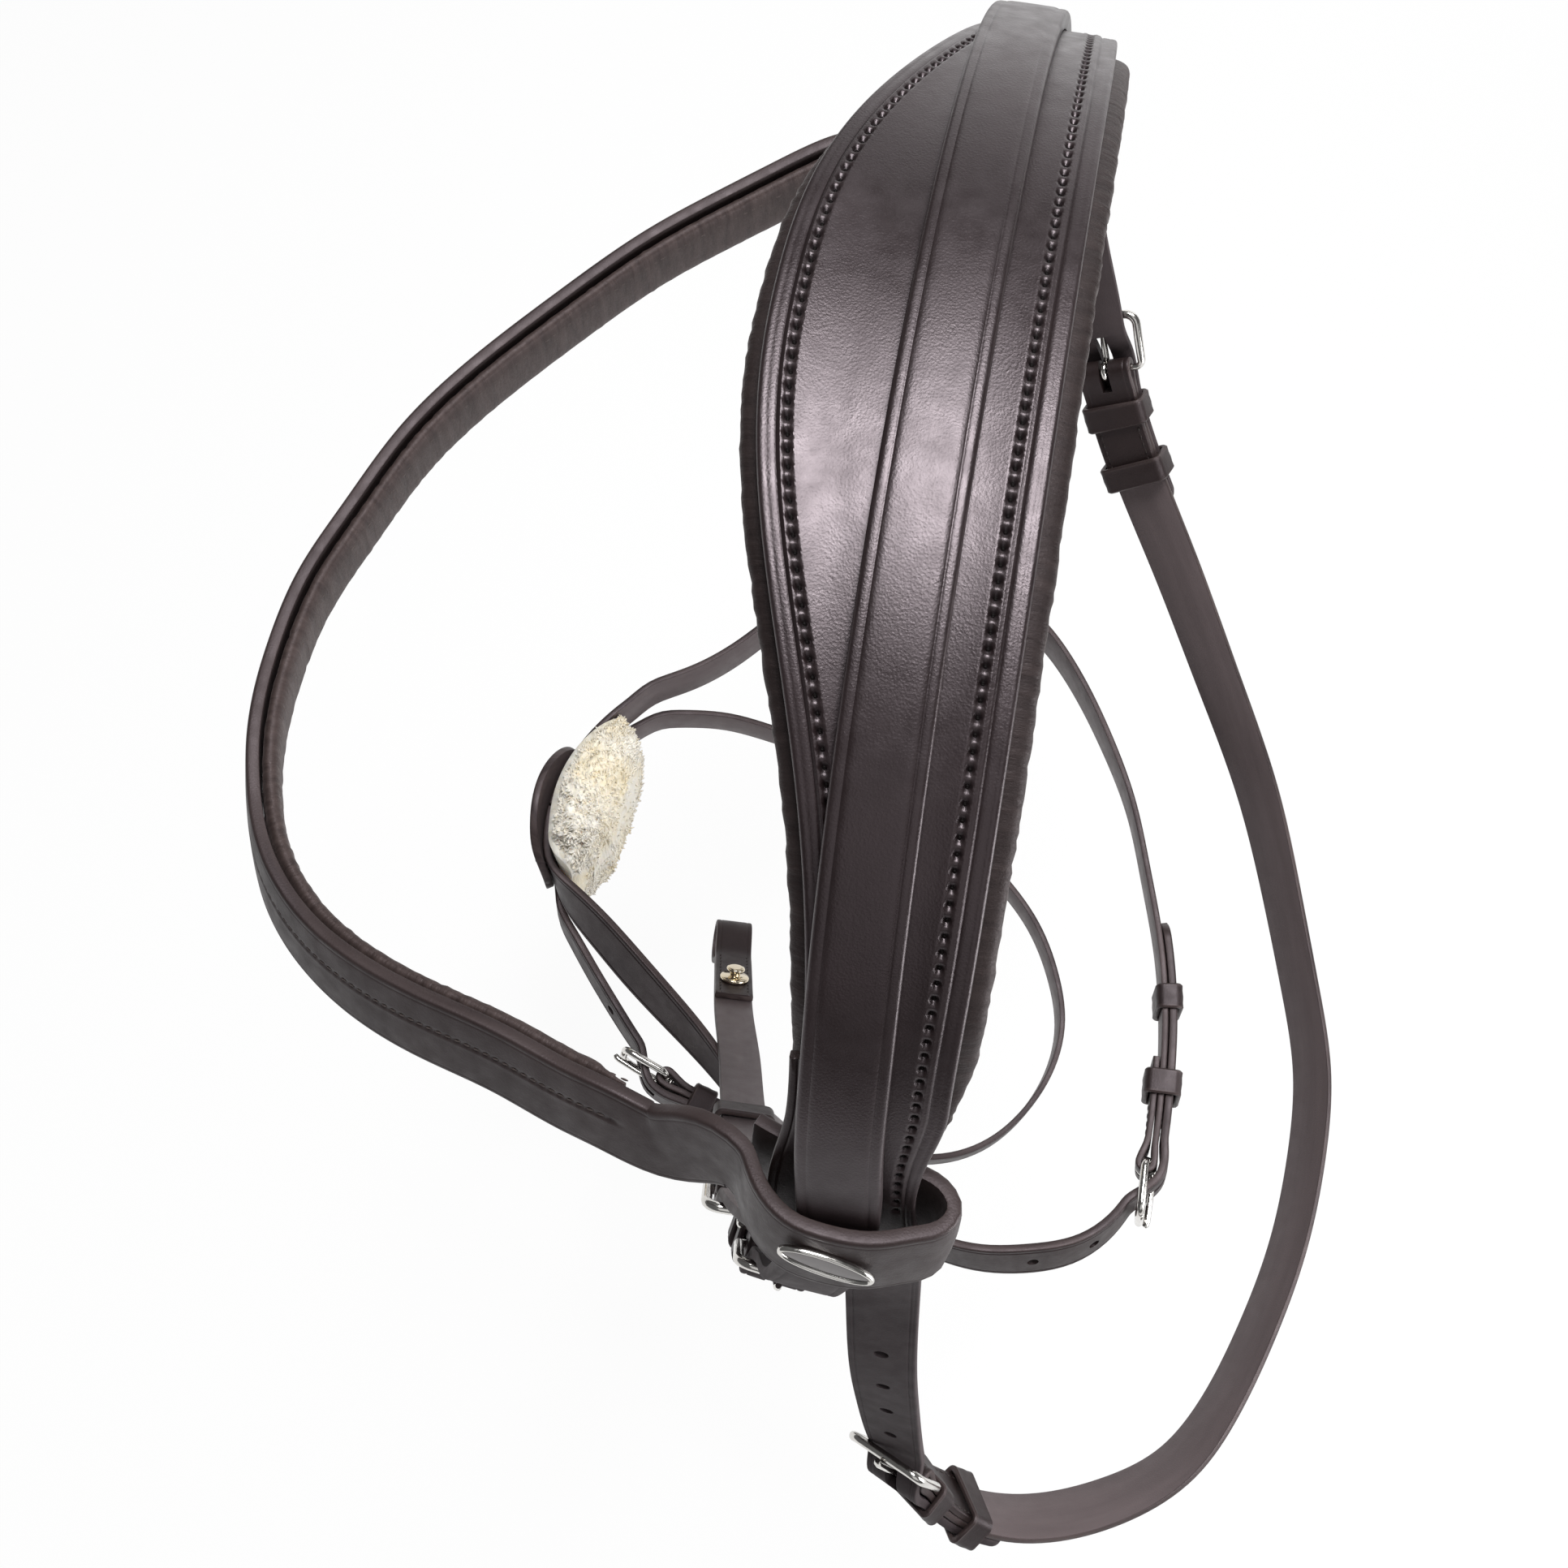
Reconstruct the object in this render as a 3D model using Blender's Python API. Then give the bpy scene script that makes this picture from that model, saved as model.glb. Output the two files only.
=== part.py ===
# English bridle with a crossed noseband, hung from the middle of its padded headpiece.
# Every size below is in millimetres and becomes metres when a mesh is made. Z is up, X points to the
# near side, Y to the back, and the origin is where the headpiece's lining rests on the poll.

import math

import bmesh
import bpy
import numpy as np

MM = 0.001
GAP = 0.3
STEP = 11.0

# Leather
STRAP_WIDTH = 16.0
STRAP_THICK = 2.5
FOLD_THICK = 2.0
EDGE = 0.6
CHEEK_WIDTH = 13.0
NARROW_WIDTH = 12.0

# Headpiece: half the arch's length, how fast it turns, and its layers
ARCH_HALF = 189.5
ARCH_TURN = 0.97
ARCH_TURN_CUBIC = 0.40
ARCH_STEEPEST = math.radians(72)
ARCH_BACKWARD = 10.0
PANEL_THICK = 3.5
LINING_THICK = 8.0
LINING_END = 171.0
PANEL_INSET_FRONT = 3.2
PANEL_INSET_BACK = 3.9
RAISED_THICK = 4.0
RAISED_EDGE = 2.3
POLL_DEPTH = PANEL_THICK + GAP + LINING_THICK

# Browband
BAND_WIDTH = 21.0
BAND_THICK = 3.0
BAND_LINING_THICK = 4.0
BAND_LINING_WIDTH = 19.0
BADGE_LENGTH = 19.5
BADGE_WIDTH = 8.0
BADGE_THICK = 1.4
BADGE_RAISED = 1.3

# Buckles, keepers and the bit ends
BAR_RADIUS = 1.0
FRAME_RADIUS = 1.3
TONGUE_RADIUS = 1.0
BUCKLE_LENGTH = 16.0
BUCKLE_RISE = 2.2
BUCKLE_CORNER = 3.5
HEEL_CORNER = 2.0
SIDE_ROOM = 0.8
KEEPER_LENGTH = 8.0
KEEPER_WALL = 1.6
CHAPE_LENGTH = 34.0
BILLET_SLOT = (12.6, 3.6, 16)
BILLET_SLOT_BACK = 4.8
CHAPE_SLOT = (11, 2 * TONGUE_RADIUS + 1, 12)
HOLE = 3.6
HOLE_DEEP = 14
THROAT_HOLES = 4
BIT_RADIUS = 6.0

# Nose
DISC_RADIUS = 24.0
DISC_THICK = 2.5
NOSE_ROOM = 0.6
FLEECE_HALF = 34.0
FLEECE_SHIFT = -4.0
FLEECE_WIDTH = 62.0
FLEECE_THICK = 21.0

LEATHER = (0.045, 0.031, 0.029)
LINING = (0.040, 0.034, 0.038)
STEEL = (0.72, 0.70, 0.67)
FLEECE = (0.80, 0.70, 0.54)


def finish_material(name, colour, roughness, metallic):
    material = bpy.data.materials.new(name)
    material.use_nodes = True
    shader = material.node_tree.nodes["Principled BSDF"]
    shader.inputs["Base Color"].default_value = (*colour, 1)
    shader.inputs["Roughness"].default_value = roughness
    shader.inputs["Metallic"].default_value = metallic
    return material


def leather(name):
    return finish_material(name, LEATHER, 0.45, 0)


def metal(name):
    return finish_material(name, STEEL, 0.18, 1)


def padding(name):
    return finish_material(name, LINING, 0.7, 0)


def place_mesh(name, bm, material, smooth_angle=35):
    # Closes the work on a mesh: faces outwards, round stretches shaded smooth.
    bm.normal_update()
    bmesh.ops.recalc_face_normals(bm, faces=bm.faces)
    mesh = bpy.data.meshes.new(name)
    bm.to_mesh(mesh)
    bm.free()
    mesh.shade_smooth()
    mesh.set_sharp_from_angle(angle=math.radians(smooth_angle))
    piece = bpy.data.objects.new(name, mesh)
    mesh.materials.append(material)
    bpy.context.collection.objects.link(piece)
    return piece


def ease(value, start, end, low, high):
    # Goes softly from low to high between start and end.
    share = min(1, max(0, (value - start) / (end - start)))
    return low + (high - low) * share * share * (3 - 2 * share)


def smooth_curve(knots, values, at):
    # Natural cubic spline through the values, one column for each coordinate.
    count = len(knots)
    width = np.diff(knots)
    slope = np.diff(values, axis=0) / width[:, None]
    system = np.eye(count)
    right = np.zeros_like(values)
    for i in range(1, count - 1):
        system[i, i - 1:i + 2] = width[i - 1], 2 * (width[i - 1] + width[i]), width[i]
        right[i] = 6 * (slope[i] - slope[i - 1])
    bend = np.linalg.solve(system, right)
    cell = np.clip(np.searchsorted(knots, at) - 1, 0, count - 2)
    before = ((knots[cell + 1] - at) / width[cell])[:, None]
    after = 1 - before
    span = (width[cell] ** 2 / 6)[:, None]
    curved = (before ** 3 - before) * bend[cell] + (after ** 3 - after) * bend[cell + 1]
    return before * values[cell] + after * values[cell + 1] + span * curved


def unit(rows):
    return rows / np.linalg.norm(rows, axis=-1, keepdims=True)


class Line:
    # A strap's middle line through a few points, with the way its face looks at each of them.
    # Along it, t runs with the strap, w across it and n out of its face.

    def __init__(self, points, faces, middle=None):
        points = np.array(points, float)
        points[:, 2] += POLL_DEPTH
        knots = np.r_[0, np.cumsum(np.linalg.norm(np.diff(points, axis=0), axis=1))]
        fine = np.linspace(0, knots[-1], int(knots[-1] * 2))
        self.place = smooth_curve(knots, points, fine)
        steps = np.linalg.norm(np.diff(self.place, axis=0), axis=1)
        along = np.r_[0, np.cumsum(steps)]
        self.marks = np.interp(knots, fine, along)
        self.shift = self.marks[middle] if middle is not None else 0
        self.along = along - self.shift
        self.marks = self.marks - self.shift
        self.t = unit(np.gradient(self.place, self.along, axis=0))
        face = smooth_curve(knots, unit(np.array(faces, float)), fine)
        face = unit(face - self.t * np.sum(face * self.t, axis=1)[:, None])
        self.n = face
        self.w = np.cross(self.n, self.t)
        self.start = self.along[0]
        self.end = self.along[-1]

    def read(self, rows, s):
        return np.array([np.interp(s, self.along, rows[:, k]) for k in range(3)])

    def frame(self, s):
        place = self.read(self.place, s)
        beyond = s - min(max(s, self.start), self.end)
        t, w, n = (unit(self.read(rows, s)) for rows in (self.t, self.w, self.n))
        return place + t * beyond, t, w, n

    def at(self, s, a, h):
        place, _, w, n = self.frame(s)
        return place + w * a + n * h


def stations(start, end):
    # Whole steps between start and end, so that layers on one line are cut at the same places.
    low, high = sorted((start, end))
    whole = np.arange(math.ceil((low + 1.5) / STEP), math.floor((high - 1.5) / STEP) + 1) * STEP
    found = [low, *whole, high]
    return found if start < end else found[::-1]


def run(start, end, height, extra=()):
    places = sorted({*stations(min(start, end), max(start, end)), *extra}, reverse=bool(start > end))
    if callable(height):
        return [(s, height(s)) for s in places]
    return [(s, height) for s in places]


def bend_round(bar, radius, steps=6, toward=-1):
    # Half a turn of the leather round a bar, from the back leg to the front leg.
    turn = (-math.pi / 2 + math.pi * k / steps for k in range(steps + 1))
    return [(bar + toward * radius * math.cos(angle), radius * math.sin(angle)) for angle in turn]


def flat_section(width, thickness):
    a, b = width / 2, thickness / 2
    shape = [(-a, -b), (a, -b), (a, b - EDGE), (a - EDGE, b), (EDGE - a, b), (-a, b - EDGE)]
    return lambda s: shape


def ribbon(name, line, path, section, material):
    # Lays a section along (s, h) points: s along the line and h out of its face.
    bm = bmesh.new()
    rings = []
    for index, (s, h) in enumerate(path):
        before = path[max(index - 1, 0)]
        after = path[min(index + 1, len(path) - 1)]
        place, t, w, n = line.frame(s)
        heading = unit(t * (after[0] - before[0]) + n * (after[1] - before[1]))
        rise = np.cross(heading, w)
        ring = [bm.verts.new((place + n * h + w * a + rise * b) * MM) for a, b in section(s)]
        rings.append(ring)
    for (near, s_near), (far, s_far) in zip(zip(rings, path), zip(rings[1:], path[1:])):
        across = [a for a, _ in section(s_near[0])]
        skin(bm, near, far, across, s_far[0] > s_near[0])
    bm.faces.new(rings[0])
    bm.faces.new(rings[-1][::-1])
    return place_mesh(name, bm, material)


def skin(bm, near, far, across, forward):
    # Layers on one line are split along the same diagonals, so that twisted faces stay parallel.
    count = len(near)
    for k in range(count):
        m = (k + 1) % count
        if (across[m] > across[k]) == forward:
            bm.faces.new((near[k], near[m], far[m]))
            bm.faces.new((near[k], far[m], far[k]))
        else:
            bm.faces.new((near[k], near[m], far[k]))
            bm.faces.new((near[m], far[m], far[k]))


def ring(name, line, s, inner, material, length=KEEPER_LENGTH, wall=KEEPER_WALL):
    # A keeper: a flat leather loop round the layers inside (half width, low, high).
    half, low, high = inner
    bm = bmesh.new()
    loops = []
    for at in (s - length / 2, s + length / 2):
        for grow in (0, wall):
            a, top, bottom = half + grow, high + grow, low - grow
            cut = GAP + grow * 0.6
            outline = [(a - cut, top), (a, top - cut), (a, bottom + cut), (a - cut, bottom),
                       (cut - a, bottom), (-a, bottom + cut), (-a, top - cut), (cut - a, top)]
            loops.append([bm.verts.new(line.at(at, x, y) * MM) for x, y in outline])
    across = [x for x, _ in outline]
    for one, two, forward in ((0, 1, True), (1, 3, True), (3, 2, True), (2, 0, False)):
        skin(bm, loops[one], loops[two], across, forward)
    place_mesh(name, bm, material)


def wire(name, points, radius, material, closed=False, sides=2, radii=None):
    curve = bpy.data.curves.new(name, "CURVE")
    curve.dimensions = "3D"
    curve.bevel_depth = radius * MM
    curve.bevel_resolution = sides
    curve.use_fill_caps = True
    spline = curve.splines.new("POLY")
    spline.points.add(len(points) - 1)
    for index, place in enumerate(points):
        spline.points[index].co = (*(np.array(place) * MM), 1)
        spline.points[index].radius = radii[index] if radii else 1
    spline.use_cyclic_u = closed
    piece = bpy.data.objects.new(name, curve)
    curve.materials.append(material)
    bpy.context.collection.objects.link(piece)
    return piece


def cut_away(piece, name, line, s, size, height, turn_round=False):
    # Cuts a slot, or a round hole, of size (along, across, deep) through a strap at s, with its
    # middle at a height above the line.
    place, t, w, n = line.frame(s)
    bm = bmesh.new()
    if turn_round:
        bmesh.ops.create_cone(bm, cap_ends=True, segments=10, radius1=size[0] / 2,
                              radius2=size[0] / 2, depth=size[2])
    else:
        bmesh.ops.create_cube(bm, size=1)
        for vert in bm.verts:
            vert.co = (vert.co.x * size[0], vert.co.y * size[1], vert.co.z * size[2])
    for vert in bm.verts:
        vert.co = (place + t * vert.co.x + w * vert.co.y + n * (vert.co.z + height)) * MM
    bm.normal_update()
    bmesh.ops.recalc_face_normals(bm, faces=bm.faces)
    mesh = bpy.data.meshes.new(name)
    bm.to_mesh(mesh)
    bm.free()
    cutter = bpy.data.objects.new(name, mesh)
    bpy.context.collection.objects.link(cutter)
    cutter.hide_render = True
    cutter.display_type = "WIRE"
    cut = piece.modifiers.new(name, "BOOLEAN")
    cut.operation = "DIFFERENCE"
    cut.solver = "EXACT"
    cut.object = cutter


# Heights of the layers at a buckle, out of the strap's face
LEG = GAP / 2 + FOLD_THICK / 2
FOLD_RADIUS = BAR_RADIUS + GAP + FOLD_THICK / 2
UNDER_FRAME = BUCKLE_RISE - FRAME_RADIUS - GAP - STRAP_THICK / 2
OVER_BAR = BAR_RADIUS + GAP + FOLD_THICK + GAP + STRAP_THICK / 2 + 0.3
OVER_STRAP = 2 * LEG - GAP / 2 + GAP + STRAP_THICK / 2 + FOLD_THICK / 2 - LEG + GAP / 2
EYE_RADIUS = BAR_RADIUS + GAP + TONGUE_RADIUS


def billet_height(s, bar):
    # Behind the frame's far end, over the heel bar, then flat on the strap below.
    if s < bar:
        return ease(s, bar - BUCKLE_LENGTH + 1, bar - 1, UNDER_FRAME, OVER_BAR)
    return ease(s, bar + 1, bar + 10, OVER_BAR, OVER_STRAP)


def held_at(bar, held):
    # Stations at both ends of each keeper, so that it fits the straight stretch inside it.
    return [bar + middle + end for middle in held for end in (-KEEPER_LENGTH / 2, KEEPER_LENGTH / 2)]


def billet_path(start, bar, tip, held):
    close = [bar + step for step in (-15, -12, -9, -6, -3, 0, 3, 6)] + held_at(bar, held)
    path = run(start, tip, lambda s: billet_height(s, bar), close)
    return thin_out(path, close)


def thin_out(path, kept):
    # Drops whole-step stations that crowd the buckle's own ones.
    ends = (path[0][0], path[-1][0])
    return [p for p in path if p[0] in kept or p[0] in ends or min(abs(p[0] - k) for k in kept) > 3]


def chape_path(bar, far, held):
    # The strap's turned end behind, the half turn round the heel bar, and its front leg.
    def leg(s):
        return ease(s, bar, bar + 8, FOLD_RADIUS, LEG)
    kept = [bar + 4, bar + 8] + held_at(bar, held)
    short = [s for s in kept if s < bar + CHAPE_LENGTH]
    back = thin_out(run(bar + CHAPE_LENGTH, bar, lambda s: -leg(s), short), short)
    ahead = thin_out(run(bar, far, leg, kept), kept)
    return back[:-1] + bend_round(bar, FOLD_RADIUS) + ahead[1:]


def make_buckle(name, line, bar, width=STRAP_WIDTH):
    # The frame's heel bar is thinner and carries the tongue's eye.
    place, t, w, n = line.frame(bar)
    half = width / 2 + SIDE_ROOM + FRAME_RADIUS
    outline = []
    for k, (ahead, side) in enumerate(((1, 1), (-1, 1), (-1, -1), (1, -1))):
        corner = HEEL_CORNER if ahead == 1 else BUCKLE_CORNER
        for step in range(4):
            angle = math.pi / 2 * (k + step / 3)
            s = ahead * (BUCKLE_LENGTH / 2 - corner) + corner * math.cos(angle)
            a = side * (half - corner) + corner * math.sin(angle)
            outline.append((s - BUCKLE_LENGTH / 2, a))
    points = []
    radii = []
    for s, a in outline:
        h = ease(-s, 0, BUCKLE_LENGTH, 0, BUCKLE_RISE)
        points.append(place + t * s + w * a + n * h)
        radii.append(ease(-s, 0, 3, BAR_RADIUS / FRAME_RADIUS, 1))
    wire("buckle_" + name, points, FRAME_RADIUS, metal("steel_" + name), True, 2, radii)
    turn = [math.radians(-170 + 260 * k / 8) for k in range(9)]
    flat = [(EYE_RADIUS * math.cos(a), EYE_RADIUS * math.sin(a)) for a in turn]
    rest = BUCKLE_RISE + FRAME_RADIUS + GAP + TONGUE_RADIUS
    flat += [(-BUCKLE_LENGTH * 0.55, EYE_RADIUS + (rest - EYE_RADIUS) * 0.6),
             (-BUCKLE_LENGTH - 0.6, rest), (-BUCKLE_LENGTH - 2.2, rest - 0.4)]
    local = [t * s + n * h for s, h in flat]
    tongue = wire("tongue_" + name, local, TONGUE_RADIUS, metal("tongue_steel_" + name), sides=1)
    tongue.location = place * MM


def open_slots(billet, strap, name, line, bar):
    cut_away(billet, "slot_" + name, line, bar - BILLET_SLOT_BACK, BILLET_SLOT, 2)
    cut_away(strap, "chape_slot_" + name, line, bar + 0.5, CHAPE_SLOT, 0)


def punch_holes(billet, name, line, places):
    for k, s in enumerate(places):
        cut_away(billet, f"hole_{name}_{k}", line, s, (HOLE, HOLE, HOLE_DEEP), 0, True)


def arch_angle(s):
    turn = abs(s) / ARCH_HALF
    angle = min(ARCH_TURN * turn + ARCH_TURN_CUBIC * turn ** 3, ARCH_STEEPEST)
    return math.copysign(angle, s)


def arch_point(s, a=0, h=0):
    # A point on the headpiece: s from the middle, a towards the back, h above the panel's top.
    steps = max(2, int(abs(s)))
    part = s / steps
    x = sum(math.cos(arch_angle(part * (k + 0.5))) for k in range(steps)) * part
    z = -sum(math.sin(arch_angle(part * (k + 0.5))) for k in range(steps)) * part
    angle = arch_angle(s)
    y = 0.9 + ARCH_BACKWARD * (s / ARCH_HALF) ** 2
    return (x + h * math.sin(angle), y + a, z + h * math.cos(angle))


def arch_face(s):
    return (math.sin(arch_angle(s)), 0, math.cos(arch_angle(s)))


def mirrored(rows):
    return [(-x, y, z) for x, y, z in rows]


def clear_scene():
    for thing in list(bpy.data.objects):
        bpy.data.objects.remove(thing, do_unlink=True)


# The headpiece's layers

def rim_front(s):
    return 10.3 + 24.7 * math.exp(-(abs(s) / 80) ** 2.4)


def rim_back(s):
    return 24.7 - 5 * (s / 180) ** 4


def panel_section(s):
    # Full width over the poll, drawn in to the throatlash's billets past the browband.
    narrow = ease(abs(s), 148, 188, 0, 1)
    front = (rim_front(s) - PANEL_INSET_FRONT) * (1 - narrow) + STRAP_WIDTH / 2 * narrow
    back = (rim_back(s) - PANEL_INSET_BACK) * (1 - narrow) + STRAP_WIDTH / 2 * narrow
    thick = PANEL_THICK * (1 - narrow) + STRAP_THICK * narrow
    slope = 3.2 * (1 - narrow) + EDGE * narrow
    drop = 1.7 * (1 - narrow) + EDGE * narrow
    b = thick / 2
    return [(-front, -b), (back, -b), (back, b - drop), (back - slope, b),
            (slope - front, b), (-front, b - drop)]


def panel_height(s):
    return ease(abs(s), 190, 215, -PANEL_THICK / 2, UNDER_FRAME)


def strap_section(s):
    # Raised and creased over the headpiece, flat where it becomes a billet.
    raised = ease(abs(s), 200, 222, 1, 0)
    b = (STRAP_THICK + (RAISED_THICK - STRAP_THICK) * raised) / 2
    a = STRAP_WIDTH / 2
    lip = a - 0.9 - (RAISED_EDGE - 0.9) * raised
    edge = b - EDGE - 1.3 * raised
    crease = b - 1.5 * raised
    return [(-a, -b), (a, -b), (a, edge), (lip, crease), (lip - 1.7, b - 0.2 * raised), (0, b),
            (1.7 - lip, b - 0.2 * raised), (-lip, crease), (-a, edge)]


def strap_height(s):
    return ease(abs(s), 216, 240, GAP + RAISED_THICK / 2, UNDER_FRAME)


def lining_thick(s):
    return ease(abs(s), 135, 165, LINING_THICK, 4.5) * ease(abs(s), LINING_END, 162, 0.45, 1)


def lining_top(s):
    return ease(abs(s), 128, 150, -PANEL_THICK - GAP, -PANEL_THICK - 2 * GAP - STRAP_THICK - 1.8)


def lining_height(s):
    return lining_top(s) - lining_thick(s) / 2


def lining_section(s):
    # A padded roll: flat on top, with full rims.
    front = rim_front(s)
    back = rim_back(s)
    b = lining_thick(s) / 2
    shape = []
    for k in range(14):
        angle = 2 * math.pi * (k + 0.5) / 14
        x = math.copysign(abs(math.cos(angle)) ** 0.35, math.cos(angle))
        y = math.copysign(abs(math.sin(angle)) ** 0.55, math.sin(angle))
        shape.append(((back - front) / 2 + (back + front) / 2 * x, b * y))
    return shape


# Hand-chosen courses of the straps beside the headpiece: places, then the way the face looks
THROAT_NEAR = [(153.5, 22.5, -127), (166, 27, -165), (174.5, 32, -200), (182, 37, -230),
               (187.5, 42.5, -250), (191, 51, -264), (195, 68, -279), (193, 89, -291),
               (184, 111, -300), (170, 130, -308), (152, 142.5, -314), (125, 154, -318),
               (97, 162, -319), (67, 165.5, -317), (39, 164, -312), (14, 156, -304),
               (-15, 143.5, -291), (-43, 128, -273), (-70, 106, -249), (-95, 82, -221),
               (-116, 60, -195), (-130, 47, -175), (-139, 39, -158), (-147, 29.5, -137)]
THROAT_FACES = [(0.95, 0, 0.3), (0.95, -0.05, 0.25), (0.95, -0.1, 0.2), (0.94, -0.2, 0.1),
                (0.9, -0.3, -0.1), (0.8, -0.35, -0.4), (0.7, -0.1, -0.7), (0.6, 0.2, -0.8),
                (0.5, 0.4, -0.75), (0.45, 0.6, -0.65), (0.35, 0.75, -0.55), (0.2, 0.83, -0.5),
                (0.1, 0.86, -0.48), (0, 0.87, -0.48), (-0.1, 0.87, -0.48), (-0.2, 0.85, -0.48),
                (-0.33, 0.8, -0.5), (-0.48, 0.68, -0.53), (-0.62, 0.55, -0.54),
                (-0.72, 0.43, -0.52), (-0.8, 0.32, -0.46), (-0.86, 0.22, -0.38),
                (-0.92, 0.1, -0.28), (-0.95, 0.05, -0.1)]
HEAD_NEAR = [(144.8, 10, -88), (151.5, 7.5, -110), (153, 4, -132), (149.5, 0.5, -155),
             (142.5, -3, -185), (129, -6.5, -218), (107.8, -8.4, -247), (97.2, -10, -270),
             (96.4, -10.4, -298)]
HEAD_FACES = [(0.95, 0, 0.3), (0.98, 0, 0.15), (0.99, -0.05, 0), (0.98, -0.1, -0.2),
              (0.92, -0.15, -0.35), (0.85, -0.22, -0.45), (0.84, -0.38, -0.35),
              (0.86, -0.49, -0.08), (0.86, -0.51, 0)]
CHEEK_NEAR = [(147.6, 2.8, -112), (145, -3, -130), (139, -9.5, -148), (132.5, -12.5, -165),
              (122, -14.5, -190), (109, -18, -219), (96, -22, -241), (82, -26, -261),
              (61, -33, -290), (38, -39, -320), (22, -43.5, -340)]
CHEEK_OFF = [(-147.6, 2.8, -112), (-145, -3, -130), (-139, -9.5, -148), (-132.5, -12.5, -165),
             (-122, -14.5, -192), (-111.5, -17.5, -219), (-100.5, -22, -243), (-90, -24.5, -270),
             (-82, -24.5, -300), (-76.5, -22.5, -332), (-72, -20.5, -362)]
CHEEK_FACES = [(0.97, 0, 0.1), (0.97, 0, -0.15), (0.94, 0, -0.3), (0.92, 0, -0.4),
               (0.9, 0, -0.42), (0.87, 0, -0.48), (0.84, 0, -0.52), (0.81, 0, -0.58),
               (0.79, 0, -0.6), (0.78, 0, -0.62), (0.78, 0, -0.62)]
PANEL_DRIFT = ((160, 1.5), (180, 6.0))
ARCH_STEP = 20
THROAT_OVERLAP = 7
CHEEK_ROOT = ((140, -4.2), (160, -4.8), (180, -8.2))
BILLET_LAYER = -PANEL_THICK - 2 * GAP - STRAP_THICK / 2 - UNDER_FRAME

# The courses' points that the heel bars lie on, the off one counted from the end
THROAT_BAR = 4
THROAT_OFF_BAR = 3
CHEEK_BAR = 6

# Buckles: how far past the heel bar the keepers and the billet's tip lie
THROAT_FRAME = STRAP_WIDTH + 2.8
RUNNER_TRAVEL = 8
RUNNER_ROOM = 0.7
THROAT_HELD = (14, 34)
HANGER_HELD = (14, 32)
CHEEK_HELD = (14, 66)
UPPER_HELD = (54, 26)
LOWER_HELD = (14,)
HANGER_BAR = 264
CHEEK_TIP = 80
HANGER_TIP = 44
THROAT_TIP = 50
UPPER_TIP = 80
LOWER_TIP = 46


def panel_line():
    # Once round the throat and a little more, so that both ends of the throatlash lie on it.
    arch = [k * ARCH_STEP for k in range(-7, 8)]
    near = [arch_point(s, a) for s, a in PANEL_DRIFT]
    near_faces = [arch_face(s) for s, _ in PANEL_DRIFT]
    off = mirrored(near)[::-1]
    off_faces = mirrored(near_faces)[::-1]
    before = THROAT_NEAR[-THROAT_OVERLAP:]
    before_faces = THROAT_FACES[-THROAT_OVERLAP:]
    points = [*before, *off, *[arch_point(s) for s in arch], *near, *THROAT_NEAR, *off,
              arch_point(-140)]
    faces = [*before_faces, *off_faces, *[arch_face(s) for s in arch], *near_faces,
             *THROAT_FACES, *off_faces, arch_face(-140)]
    line = Line(points, faces, middle=len(before) + len(off) + len(arch) // 2)
    line.near_first = len(before) + len(off) + len(arch) + len(near)
    return line


def head_line():
    arch = [k * ARCH_STEP for k in range(-8, 9)]
    points = [*mirrored(HEAD_NEAR)[::-1], *[arch_point(s) for s in arch], *HEAD_NEAR]
    faces = [*mirrored(HEAD_FACES)[::-1], *[arch_face(s) for s in arch], *HEAD_FACES]
    return Line(points, faces, middle=len(points) // 2)


def cheek_line(side):
    root = [arch_point(s, a, BILLET_LAYER) for s, a in CHEEK_ROOT]
    faces = [arch_face(s) for s, _ in CHEEK_ROOT] + CHEEK_FACES
    if side == "off":
        return Line(mirrored(root) + CHEEK_OFF, mirrored(faces))
    return Line(root + CHEEK_NEAR, faces)


def back_to_front(line):
    # The same line walked the other way, for the off side's buckles.
    other = object.__new__(Line)
    other.place = line.place[::-1]
    other.along = -line.along[::-1]
    other.marks = -line.marks[::-1]
    other.t = -line.t[::-1]
    other.n = line.n[::-1]
    other.w = -line.w[::-1]
    other.start = other.along[0]
    other.end = other.along[-1]
    return other


def flip(path):
    return [(-s, h) for s, h in path][::-1]


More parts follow.
